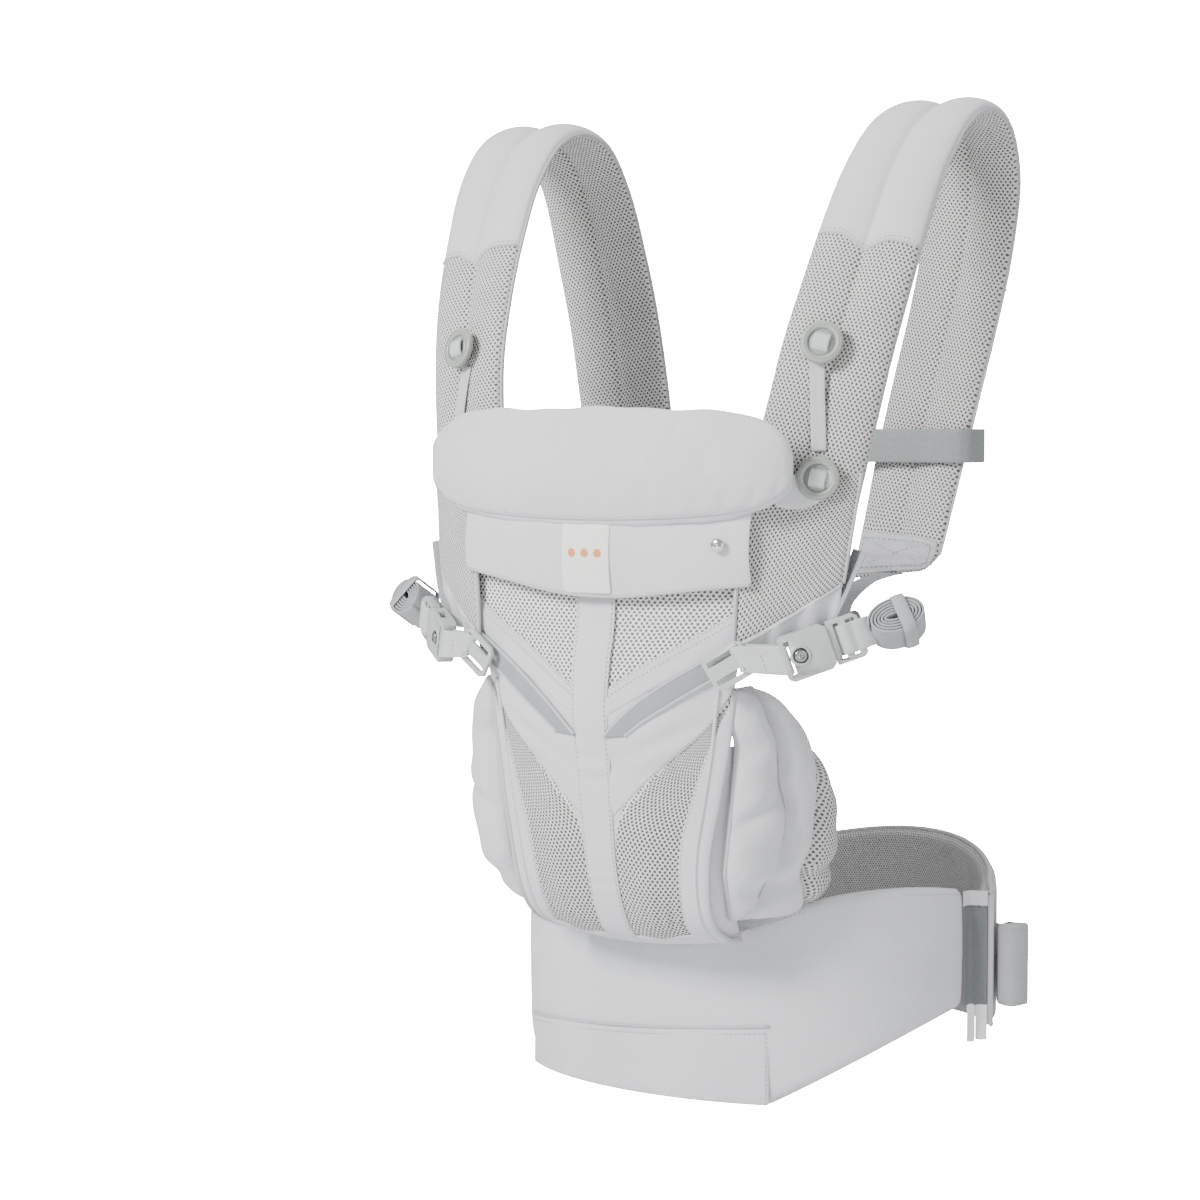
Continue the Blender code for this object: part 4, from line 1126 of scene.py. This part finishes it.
def strap_end(points, left, share, side):
    """Moves points near a strap's rear end: its inner corner hangs lower, its outer one is round."""
    inner = np.clip(1 - left / 0.06, 0, 1) ** 2 * np.clip((0.5 - share) / 1.5, 0, 1)
    outer = np.clip(1 - left / 0.018, 0, 1) * np.clip((share - 0.45) / 0.55, 0, 1) ** 2
    return points + np.stack([-side * (6 * inner + 4 * outer), 0 * inner, 9 * outer - 15 * inner], -1) * MM


def build_strap(side):
    """A padded shoulder strap: smooth cover, open mesh, edge seams and cross seams."""
    word = SIDES[side]
    c, w, n, half = strap_frames(side)
    count = len(c)
    run = lengths(c)
    s = STRAP_SHARES
    rings, weave, seam = [], [], []
    front_seam, back_seam = (run[int(row * PER_STRAP_ROW)] for row in (FRONT_SEAM_ROW, BACK_SEAM_ROW))
    for i in range(count):
        up, down = strap_heights(i, run, s)
        wide = half[i] * s
        outer = c[i] + w[i] * wide[:, None] + n[i] * (up * MM)[:, None]
        inner = c[i] + w[i] * wide[::-1, None] - n[i] * (down[::-1] * MM)[:, None]
        outer, inner = (strap_end(p, run[-1] - run[i], q, side) for p, q in ((outer, s), (inner, s[::-1])))
        rings.append(np.vstack([outer, inner[1:-1]]))
        both = np.concatenate([wide, wide[::-1][1:-1]])
        weave.append(np.stack([both, np.full(len(both), run[i]), 0 * both], -1))
        dip = seam_dip(np.abs(s))
        line = np.minimum(run[i] - (front_seam - dip), (back_seam + dip) - run[i])
        seam.append(np.concatenate([line, np.full(len(s) - 2, -1.0)]))
    size = len(rings[0])
    faces = []
    for i in range(count - 1):
        for k in range(size):
            m = (k + 1) % size
            faces.append((i * size + k, i * size + m, (i + 1) * size + m, (i + 1) * size + k))
    for i in (0, count - 1):
        ring = [i * size + k for k in range(size)]
        top, bottom = ring[: len(s)], [ring[0]] + ring[: len(s) - 1 : -1] + [ring[len(s) - 1]]
        for k in range(len(s) - 1):
            faces.append(tuple(dict.fromkeys((top[k], top[k + 1], bottom[k + 1], bottom[k]))))
    attributes = {"seam": np.concatenate(seam)}
    strap = build(f"strap_{word}", np.vstack(rings), faces, [STRAP], weave=np.vstack(weave),
                  attributes=attributes, levels=1)
    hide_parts(f"strap_cover_{word}", f"strap_foam_{word}", f"strap_lining_{word}")
    for edge in (-1, 1):
        path = strap_end(c + w * (half * edge)[:, None] + n * 0.3 * MM, run[-1] - run,
                         np.full(count, float(edge)), side)
        which = "inner" if edge < 0 else "outer"
        tube(f"strap_seam_{word}_{which}", path[::2], 1.2 * MM, FABRIC_SHADE, sides=6)
    for where, row, at_run, sign in (("front", FRONT_SEAM_ROW, front_seam, -1),
                                     ("back", BACK_SEAM_ROW, back_seam, 1)):
        path, normals = [], []
        for share in np.linspace(-0.985, 0.985, 41):
            place = np.interp(at_run + sign * seam_dip(abs(share)), run, np.arange(count))
            up = np.interp(share, s, strap_heights(int(round(place)), run, s)[0])
            centre, wide, out = at(c, place), unit(at(w, place)), unit(at(n, place))
            path.append(centre + wide * share * at(half, place) + out * (up + 0.15) * MM)
            normals.append(out)
        tube(f"strap_seam_{word}_{where}", path, 0.9 * MM, FABRIC_SHADE, sides=6)
        away = unit(np.gradient(c, axis=0)[int(PER_STRAP_ROW * row)]) * -sign * 3.2 * MM
        stitches(f"strap_seam_stitch_{word}_{where}", np.array(path) + away + np.array(normals) * 0.2 * MM,
                 normals)
    build_strap_details(side, word)


def build_strap_details(side, word):
    """Ring buttons with their web tabs, the tape between them, and the hem at the strap's lower end."""
    for level, row, sideways in (("upper", 5.0, -7.5), ("lower", 3.0, 10.5)):
        centre, out, across = strap_surface(side, row, sideways, 17.2)
        build_ring(f"{level}_{word}", centre, out, across)
    spots = ((4.72, -9.5, 10.2), (4.3, -5.0, 10.4), (3.85, 0.0, 10.4), (3.36, 6.0, 10.4))
    ladder = [strap_surface(side, row, x, h)[0] for row, x, h in spots]
    _, out, across = strap_surface(side, 4.0, 0, 0)
    band(f"ladder_tape_{word}", ladder, np.tile(across, (4, 1)), 10.5 * MM, 1.3 * MM, WEB_LIGHT, per=8)
    c, _, _, _ = strap_frames(side)
    run = lengths(c)
    fine = np.arange(len(run))

    def on_lining(row, x, over):
        share = x / STRAP_END_HALF
        down = np.interp(abs(share), STRAP_SHARES[10:],
                         strap_heights(int(round(row * PER_STRAP_ROW)), run, STRAP_SHARES[10:])[1])
        point, out, _ = strap_surface(side, row, x, -down - over)
        return strap_end(point, run[-1] - np.interp(row * PER_STRAP_ROW, fine, run), share, side), -out

    columns, rows = np.linspace(-33.4, 33.4, 24), np.linspace(16.62, 16.97, 12)
    grid = np.array([[on_lining(row, x, 0.7)[0] for x in columns] for row in rows])
    grid = mirrored(grid, side)
    near = np.minimum(np.arange(12), 11 - np.arange(12))[:, None] * 1.6 * MM + np.zeros(24)
    hem = slab(f"strap_hem_{word}", grid, 0.7 * MM * rim(near, 2 * MM), [FABRIC_SHADE])
    corners = ((-29, 16.67), (29, 16.67), (29, 16.92), (-29, 16.92), (-29, 16.67), (29, 16.92), (29, 16.67),
               (-29, 16.92))
    line, normals = [], []
    for (x0, row0), (x1, row1) in zip(corners, corners[1:]):
        for k in np.linspace(0, 1, 16)[:-1]:
            point, out = on_lining(row0 + (row1 - row0) * k, x0 + (x1 - x0) * k, 1.5)
            line.append(point)
            normals.append(out)
    stitches(f"strap_hem_stitch_{word}", line, np.array(normals), length=3.4 * MM, pitch=4.4 * MM,
             width=0.6 * MM)
    low_edge = [strap_end(strap_surface(side, 16.93, x, -0.4)[0], 0.001, x / STRAP_END_HALF, side)
                for x in np.linspace(-33.5, 33.5, 20)]
    tube(f"strap_end_binding_{word}", low_edge, 2.6 * MM, FABRIC_SHADE, sides=8)
    fold = np.array(low_edge)[1:12] + (0, 1.5 * MM, -3.0 * MM)
    band(f"strap_end_fold_{word}", fold, np.tile((0, 0, 1.0), (11, 1)), 5 * MM, 1.6 * MM, FABRIC_SHADE, per=2)


def local_frame(centre, x, z):
    """A matrix whose columns are local X, Y and Z, and the centre."""
    x = unit(np.asarray(x, float))
    z = unit(np.asarray(z, float) - np.dot(z, x) * x)
    return np.asarray(centre, float), np.stack([x, np.cross(z, x), z], -1)


def placed(frame_, points):
    """Points in mm of a frame as world points."""
    centre, axes = frame_
    return centre + np.asarray(points, float) @ axes.T * MM


def turned(name, frame_, profile, mat, body, segments=48, levels=1):
    """A turned piece from a closed profile of (radius, height) pairs in mm."""
    verts, faces = [], []
    count = len(profile)
    for i in range(segments):
        turn = 2 * math.pi * i / segments
        verts += [(r * math.cos(turn), r * math.sin(turn), h) for r, h in profile]
    for i in range(segments):
        j = (i + 1) % segments
        for k in range(count):
            m = (k + 1) % count
            faces.append((i * count + k, j * count + k, j * count + m, i * count + m))
    return build(name, placed(frame_, verts), faces, [mat], body, levels=levels)


def build_ring(which, centre, out, across):
    """A thick-rimmed ring button with a recessed middle, held by a padded tab of webbing."""
    body = f"button_{which}"
    spot = local_frame(centre, across, out)
    rim_profile = [(9.4, 1.0), (9.9, 2.3), (11.2, 2.9), (13.2, 2.9), (14.7, 2.1), (15.1, 0.4), (14.9, -1.2),
                   (13.6, -2.2), (11.0, -2.3), (9.4, -1.0)]
    ring = turned(f"ring_{which}", spot, rim_profile, RING_PLASTIC, body)
    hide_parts(f"button_{which}")
    plate = [(2.0, 0.7), (9.6, 0.7), (9.7, 0.2), (9.6, -1.0), (2.0, -1.0), (1.8, -0.2)]
    turned(f"ring_plate_{which}", spot, plate, RING_PLASTIC, body, levels=0)
    groove = [(12.2 + 0.35 * math.cos(t), 3.0 + 0.25 * math.sin(t))
              for t in np.linspace(0, 2 * np.pi, 7)[:-1]]
    turned(f"ring_line_{which}", spot, groove, RING_PLASTIC, body, levels=0)
    path = placed(spot, [(0, -5.6, -7.0), (0, -5.6, -1.0), (0, -5.2, 1.8), (0, -2.6, 3.4), (0, 2.6, 3.4),
                         (0, 5.2, 1.8), (0, 5.6, -1.0), (0, 5.6, -7.0)])
    band(f"ring_tab_{which}", path, np.tile(spot[1][:, 0], (8, 1)), 11.5 * MM, 2.2 * MM, WEB_LIGHT, body,
         levels=2, per=4)


# ---------------------------------------------------------------- wings and gussets


def coons(top, low, columns, rows):
    """Straight rulings between two smooth lines: columns along them, rows from top to low."""
    lines = []
    for line in (top, low):
        p = smoothed(np.asarray(line, float), 10)
        lines.append(np.stack([np.interp(columns * (len(p) - 1), np.arange(len(p)), p[:, k])
                               for k in range(3)], -1))
    return lines[0][None] * (1 - rows[:, None, None]) + lines[1][None] * rows[:, None, None]


def side_grid(grid, side):
    """A grid of points for either side of the carrier."""
    return mirrored(grid * FLIPS[side], side)


def build_wing(side, word):
    """Mesh that carries on from the panel's top corner into the strap, and the cloth folded in below it."""
    columns, rows = spaced(24, 0.3), spaced(30, 0.2)
    top = [(110, -197, 452), (122, -187, 452), (140, -173, 452), (160, -162, 454), (178, -153, 457)]
    low = [(106, -200.0, 338), (121, -192.0, 347), (136, -183, 357.5), (152, -173, 369), (168, -160, 382)]
    grid = coons(np.array(top) * MM, np.array(low) * MM, columns, rows)
    u, v = np.meshgrid(columns, rows)
    swell = 2.2 * MM * np.sin(np.pi * np.clip(v, 0, 1)) ** 0.8 * np.sin(np.pi * (0.12 + 0.8 * u)) ** 0.8
    swell += 0.7 * MM * np.sin(9 * u + 5 * v) * np.sin(np.pi * v)
    grid = grid + grid_normals(grid) * swell[..., None]
    near = np.minimum(inside(u, 80), inside(v, 105)) * MM
    half = 2.1 * MM * rim(near, 5 * MM)
    grid, half = side_grid(grid, side), mirrored(half, side)
    wing = slab(f"wing_{word}", grid, half, [MESH])
    edge = grid[-1] + (0, -0.0012, -0.0008)
    tube(f"wing_seam_{word}", edge, 1.5 * MM, FABRIC_SHADE, sides=6)
    outer, inner = (grid[:, column_from(k, side)] for k in (-1, 0))
    tube(f"wing_inner_seam_{word}", inner + (0, -0.0016, 0), 1.7 * MM, FABRIC_SHADE, sides=6)
    tube(f"wing_edge_{word}", outer, 1.6 * MM, FABRIC_SHADE, sides=6)
    low2 = [(104, -197.5, 334), (120, -185, 334), (136, -174, 337), (152, -163, 341), (163, -156, 345)]
    columns, rows = spaced(44, 0.2), spaced(16, 0.2)
    lift = np.array([0, -1.5, 1.5]) * MM
    grid = coons(np.array(low) * MM + lift, np.array(low2) * MM + lift, columns, rows)
    u, v = np.meshgrid(columns, rows)
    waves = np.sin(2 * np.pi * (3.1 * u + 0.35 * v * (u - 0.4)))
    flute = 2.6 * MM * waves * (0.25 + 0.75 * v) * np.clip(u / 0.15, 0, 1)
    grid = grid + grid_normals(grid) * flute[..., None]
    near = np.minimum(inside(u, 70), inside(v, 30)) * MM
    half = 1.3 * MM * rim(near, 3 * MM)
    grid, half = side_grid(grid, side), mirrored(half, side)
    cloth = slab(f"gusset_{word}", grid, half, [FABRIC])
    flip = FLIPS[side]
    loop = np.array([(175, -149, 404), (171, -152, 392), (165, -157, 374), (158, -160, 356),
                     (152, -160, 344)]) * MM * flip
    across = np.array([(-0.5, 0.5, 0.5), (-0.62, 0.6, 0.3), (-0.7, 0.6, 0.1), (-0.7, 0.65, 0),
                       (-0.7, 0.7, 0)]) * flip
    band(f"wing_loop_{word}", loop, across, 19 * MM, 1.6 * MM, WEB, per=8)


# ---------------------------------------------------------------- leg pads

LEG_ROWS = np.array([
    (308, 0.16, 2), (296, 0.32, 10), (276, 0.52, 20), (250, 0.74, 28), (222, 0.91, 32), (195, 1, 32),
    (172, 1, 28), (156, 0.9, 21), (144, 0.72, 13),
], float)
# Where the pad's two sewn valleys run, as (height, share of the way back).
FIRST_VALLEY = np.array([(308, 0.6), (286, 0.47), (244, 0.36), (225, 0.39), (190, 0.37), (159, 0.24),
                         (144, 0.1)])
MESH_VALLEY = np.array([(308, 1.2), (273, 0.97), (241, 0.71), (205, 0.60), (182, 0.55), (160, 0.66),
                        (144, 0.9)])


def build_leg_pad(side, word):
    """A puffed pad in sewn lobes beside the seat, and the cloth that joins it to the seat."""
    rows = smoothed(LEG_ROWS, 6)
    z, reach, bulge = (rows[:, k][:, None] for k in range(3))
    s = spaced(LEG_COLUMNS, 0.3)[None, :]
    half_width = np.interp(z, PANEL_ROWS[4:11, 1][::-1], PANEL_ROWS[4:11, 4][::-1])
    edge_y = np.interp(z, PANEL_ROWS[4:11, 1][::-1], PANEL_ROWS[4:11, 2][::-1])
    spread, early = (1.0, 1.0) if side > 0 else (1.45, 0.66)
    x = half_width - 1 + bulge * spread * np.sin(np.pi * (0.04 + 0.67 * s**early))
    close = np.clip((z - 270) / 14, 0, 1) * 6.5 * np.clip(1 - s / 0.4, 0, 1)
    y = edge_y + 5.0 - close + 0.3 * np.maximum(0, 178 - z) + LEG_REACH * reach * s
    mid = np.stack([x, y + 0 * x, z + 0 * x], -1) * MM
    first = np.interp(z, FIRST_VALLEY[::-1, 0], FIRST_VALLEY[::-1, 1])
    second = np.interp(z, MESH_VALLEY[::-1, 0], MESH_VALLEY[::-1, 1])
    valleys = 0.86 * np.exp(-(((s - first) * reach / 0.052) ** 2))
    valleys = valleys + 0.7 * np.exp(-(((s - second) * reach / 0.045) ** 2))
    line = (z - 211) / 31 - s / 0.40
    crease = 0.42 * np.exp(-((line / 0.20) ** 2)) * np.clip((first - s) / 0.1, 0, 1)
    flap = 0.5 * np.exp(-(((z - 166 - 12 * s) / 5.5) ** 2)) * np.clip(s / 0.15, 0, 1)
    crumple = 0.07 * np.sin(0.11 * z + 9 * s) + 0.05 * np.sin(0.23 * z - 14 * s + 1)
    near = np.minimum(inside(s, LEG_REACH * reach), np.minimum(z - 143, 309 - z)) * MM
    half = 10.4 * MM * rim(near, 17 * MM) * np.clip(1 - valleys - crease - flap + crumple, 0.14, 1.2)
    shift = -2.4 * MM * np.clip(valleys, 0, 1)
    mid = mid + np.stack([shift, 0 * shift, 0 * shift], -1)
    seam = (second - s) * LEG_REACH * MM * reach
    held = (valleys > 0.6) | (near < 3 * MM)
    half, seam, held = (mirrored(k, side) for k in (half, seam, held))
    mid = side_grid(mid, side)
    pad = slab(f"leg_pad_{word}_shell", mid, half, [STRAP, FABRIC, FABRIC], attributes={"seam": seam})
    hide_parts(f"leg_pad_{word}")
    puff(pad, held, 2.5 * MM, 0.003)
    face = mid + grid_normals(mid) * half[..., None]
    for which, line in (("first", first), ("mesh", second)):
        path = []
        for i in range(2, len(rows) - 2):
            where = float(line[i, 0])
            if 0.03 < where < 0.97:
                place = np.interp(where, s[0], np.arange(LEG_COLUMNS))
                place = place if side > 0 else LEG_COLUMNS - 1 - place
                path.append(at(face[i], place))
        path = smoothed(np.array(path)[::3], 3)
        # The seam tubes use the darker valley cloth: painted shade along the valleys.
        tube(f"leg_pad_seam_{which}_{word}", path, 0.8 * MM, SEAM_SHADE, sides=6)
    outline = np.vstack([mid[0], mid[1:, -1], mid[-1, -2::-1], mid[-2:0:-1, 0]])
    tube(f"leg_pad_piping_{word}", outline, 1.7 * MM, FABRIC_SHADE, closed=True, sides=8)
    height = np.linspace(268, 124, 34)
    row = np.interp(height, PANEL_ROWS[::-1, 3], np.arange(len(PANEL_ROWS))[::-1])
    edge, n = panel_points(row, np.interp(row, [p[0] for p in BINDING_OUT],
                                          [p[1] for p in BINDING_OUT]) - 0.03)
    pad_edge = mid[::-1, column_from(3, side)] * FLIPS[side]
    far = np.array([at(pad_edge, np.interp(h, z[::-1, 0], np.arange(len(z)))) for h in height])
    share = spaced(10)[None, :, None]
    grid = edge[:, None] * (1 - share) + far[:, None] * share
    u, v = np.meshgrid(share.ravel(), np.linspace(0, 1, 34))
    sunk = (-4.5 * np.sin(np.pi * u) + 1.3 * np.sin(7 * v + 5 * u) * np.sin(np.pi * u)) * MM
    grid = grid + n[:, None] * sunk[..., None]
    near = np.minimum(inside(u, 20), inside(v, 128)) * MM
    grid, near = side_grid(grid, side), mirrored(near, side)
    web = slab(f"leg_web_{word}", grid, 0.9 * MM * rim(near, 2 * MM), [FABRIC])


# ---------------------------------------------------------------- buckles, guides and webbing

BUCKLE_START, BUCKLE_WAY = np.array([140, -193, 330.0]), np.array([0.76, 0.56, 0.33])
NODE_BODY = {node: body for body, nodes in frame["record"]["behaviour"]["bodies"].items() for node in nodes}


def side_frame(side):
    """The side buckle's own frame: X along it, Y up its width, Z out of its front."""
    flip = FLIPS[side]
    way = unit(BUCKLE_WAY * flip)
    y = np.array([0, 0, 1.0]) * side
    y = unit(y - np.dot(y, way) * way)
    return BUCKLE_START * flip * MM, np.stack([way, y, np.cross(way, y)], -1)


def refine(node, mat, width):
    """A rigid piece as the CAD has it, with its edges rounded over."""
    bm = bmesh.new()
    bm.from_mesh(NODES[node].data)
    bmesh.ops.remove_doubles(bm, verts=bm.verts, dist=1e-6)
    bmesh.ops.recalc_face_normals(bm, faces=bm.faces)
    me = bpy.data.meshes.new(node + "_shell")
    bm.to_mesh(me)
    bm.free()
    me.materials.append(mat)
    me.polygons.foreach_set("use_smooth", [True] * len(me.polygons))
    ob = add(node + "_shell", me)
    edge = ob.modifiers.new("edge", "BEVEL")
    edge.width = width
    edge.segments = 3
    edge.limit_method = "ANGLE"
    edge.angle_limit = math.radians(30)
    edge.harden_normals = True
    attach(ob, NODE_BODY[node])
    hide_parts(node)
    return ob


def build_hardware():
    """The buckles, guides, release buttons and press stud."""
    for side, word in SIDES.items():
        for node, edge in (("guide", 0.7), ("side_buckle_female", 0.9), ("side_buckle_male", 0.7)):
            refine(f"{node}_{word}", BUCKLE, edge * MM)
        place = side_frame(side)
        spot = local_frame(placed(place, [(12, 0, 6.6)])[0], place[1][:, 0], place[1][:, 2])
        press = [(0.01, -1.2), (4.4, -1.2), (4.4, 0.4), (3.9, 1.1), (3.0, 1.4), (1.8, 1.15), (0.01, 1.05)]
        bezel = [(4.9, 4.6), (5.2, 6.3), (6.1, 6.9), (7.0, 6.4), (7.5, 5.3), (7.4, 4.6)]
        seat = local_frame(placed(place, [(12, 0, 0)])[0], place[1][:, 0], place[1][:, 2])
        turned(f"release_bezel_{word}", seat, bezel, BUCKLE, f"guide_slider_{word}")
        cap = turned(f"release_press_cap_{word}", spot, press, RELEASE, f"release_button_{word}")
        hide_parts(f"release_button_{word}")
    for node, edge in (
        ("waist_buckle_female", 1.1), ("waist_buckle_male", 0.8),
        ("chest_buckle_female", 0.8), ("chest_buckle_male", 0.6),
    ):
        refine(node, BUCKLE, edge * MM)
    snap = [(0.01, 3.3), (2.0, 3.1), (3.6, 2.6), (4.6, 1.9), (5.0, 1.0), (4.8, 0.3), (0.01, 0.2)]
    spot = local_frame(np.array([100, -212.6, 408]) * MM, (1, 0.2, 0), (0.2, -1, 0))
    cap = turned("hood_snap_cap", spot, snap, CHROME, "carrier")
    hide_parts("hood_snap")


def build_guide_loop(side, word):
    """Webbing folded round the guide's bar and the buckle's, sewn to itself between them."""
    flip = FLIPS[side]
    place = side_frame(side)
    guide, face = np.array([103, -199.5, 326]) * flip * MM, unit(np.array([0.30 * side, -0.95, 0]))
    tip, tape_end = np.array([24, -222, 277]) * flip, np.array([118, -195, 336]) * flip
    along = unit((tape_end - tip).astype(float))
    body = f"guide_slider_{word}"
    near_bar = guide + face * 9.4 * MM + along * 9.5 * MM
    behind = guide + face * 5.2 * MM + along * 12 * MM
    spots = ((1.4, 0, 4.4), (4.2, 0, 0.6), (1.2, 0, -3.2))
    far_front, far_turn, far_back = (placed(place, [p])[0] for p in spots)
    wide = unit(np.cross(along, face))
    up = place[1][:, 1] * side
    wide = wide * (1 if np.dot(wide, up) > 0 else -1)
    pinch = (near_bar + far_front) / 2 + face * 0.6 * MM
    under = (behind + far_back) / 2 + face * 1.0 * MM
    turn = near_bar - along * 2.6 * MM - face * 1.8 * MM
    ring = [turn, near_bar, pinch, far_front, far_turn, far_back, under, behind]
    across = [wide, wide, wide + up, up, up, up, wide + up, wide]
    widths = np.array([17.5, 18, 19.5, 20.5, 21, 21, 19.5, 18]) * MM
    loop = band(f"guide_web_{word}", ring, [unit(k) for k in across], widths, 1.7 * MM, WEB_LIGHT, body,
                per=8)
    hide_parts(f"guide_loop_{word}")
    line = [pinch + face * 1.3 * MM + up * k * MM for k in (-8, 0, 8)]
    stitches(f"guide_web_stitch_{word}", smoothed(np.array(line), 8), face, body)


def build_web_roll(side, word):
    """Spare webbing rolled up with a keeper round it, and the length through the adjuster."""
    place = side_frame(side)
    body = f"side_buckle_tongue_{word}"
    centre = placed(place, [(82, -2 * side, 0)])[0]
    x = place[1][:, 0]
    axis = unit(place[1][:, 2] * 0.80 + place[1][:, 1] * side * 0.6)
    y = unit(np.cross(axis, x))
    turns = np.linspace(0, 2 * np.pi * 5.5, 150)
    grow = turns / turns[-1]
    path = []
    for t, g in zip(turns, grow):
        path.append(centre + (x * (7.0 + 13.2 * g) * math.cos(t) + y * (1.6 + 12.4 * g) * math.sin(t)) * MM)
    roll = band(f"web_roll_turns_{word}", path, np.tile(axis, (150, 1)), 24.5 * MM, 1.9 * MM, WEB, body,
                per=1)
    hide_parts(f"web_roll_{word}")
    keeper = []
    for t in np.linspace(0, 2 * np.pi, 41)[:-1]:
        tall, deep = np.clip(np.array([15.8 * 1.25 * math.cos(t), 13.4 * 1.25 * math.sin(t)]), (-15.3, -13.2),
                             (15.3, 13.2))
        keeper.append(centre + (x * 5 + y * tall + axis * deep) * MM)
    keeper = np.array(keeper)
    outward = unit(keeper - centre - x * 5 * MM)
    tube(f"web_roll_keeper_{word}", keeper, 5.0 * MM, WEB, body, closed=True, sides=10, flat=0.16, up=outward)
    through = [(38.6, -2.6), (41, 0.4), (43.5, 3.6), (47, 4.2), (51, 3.0), (55, 3.4), (60, 2.6), (64, 0.5)]
    through = [(along, 0, out) for along, out in through]
    up = np.tile(place[1][:, 1], (len(through), 1))
    band(f"adjuster_web_{word}", placed(place, through), up, 21 * MM, 1.8 * MM, WEB_LIGHT, body, per=6)


def build_side_webbing(side, word):
    """From the strap's lower end to the adjuster, in two lengths."""
    flip = FLIPS[side]
    place = side_frame(side)
    route = np.array([(106, 28, 379), (104, -8, 374), (113, -58, 362), (137, -106, 353)]) * MM * flip
    joint = np.array([164, -134, 353]) * MM * flip
    ends = placed(place, [(60.5, 0, -15), (54, 0, -7), (50.2, 0, -1.0)])
    flat, upright = np.array([1.0, -0.1, 0]) * flip, np.array([-0.15 * side, 0, 1.0])
    turns = [unit(flat * (1 - k) + upright * k) for k in (0, 0.02, 0.06, 0.3, 0.8)]
    first = band(f"side_web_rear_{word}", np.vstack([route, joint]), turns, 18 * MM, 1.6 * MM, WEB, None,
                 per=8)
    y = place[1][:, 1] * side
    second = band(f"side_web_front_{word}", np.vstack([joint, ends]), [turns[-1], y, y, y], 18 * MM, 1.6 * MM,
                  WEB, None, per=8)
    guide, tongue = f"guide_slider_{word}", f"side_buckle_tongue_{word}"
    for piece, a, b, start, end in (
        (first, "carrier", guide, route[0], joint),
        (second, guide, tongue, joint, ends[0]),
    ):
        apply_modifiers(piece)
        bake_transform(piece)
    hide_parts(f"side_webbing_{word}")


def build_chest_strap():
    """The chest webbing round both straps, turned back through its buckle."""
    up = np.array([0, 0, 1.0])
    for side, word in SIDES.items():
        route = [(25.4 if side > 0 else 25.6, 20), (80, 20), (120, 20), (160, 20), (169, 22), (173.8, 29),
                 (173.8, 46), (166, 53), (150, 53.5), (128, 54), (100, 55)]
        path = np.array([(x * side * MM, y * MM, CHEST_WEB_HEIGHT) for x, y in route])
        across = np.tile(up, (len(path), 1))
        body = "carrier" if side > 0 else None
        web = band(f"chest_web_{word}", path, across, 25 * MM, 1.6 * MM, WEB_DARK, body, per=6)
        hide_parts(f"chest_webbing_{word}")
        if side > 0:
            loop = np.array([(20.4, 21.5), (20.6, 25.4), (23, 26.4), (27, 25.2), (32, 22.4), (40, 21.9),
                             (47, 21.8)]) * MM
            loop = np.column_stack([loop, np.full(len(loop), CHEST_WEB_HEIGHT)])
            band("chest_web_turn", loop, np.tile(up, (len(loop), 1)), 20 * MM, 1.4 * MM, WEB_DARK, per=5)
        if side < 0:
            apply_modifiers(web)
            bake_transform(web)


# ---------------------------------------------------------------- everything in its order

build_camera_and_light()
build_belt()
build_lumbar()
build_waist_webbing()
build_panel()
build_hood()
build_pillow()
build_hardware()
build_chest_strap()
for side, word in SIDES.items():
    build_strap(side)
    build_wing(side, word)
    build_leg_pad(side, word)
    build_guide_loop(side, word)
    build_web_roll(side, word)
    build_side_webbing(side, word)
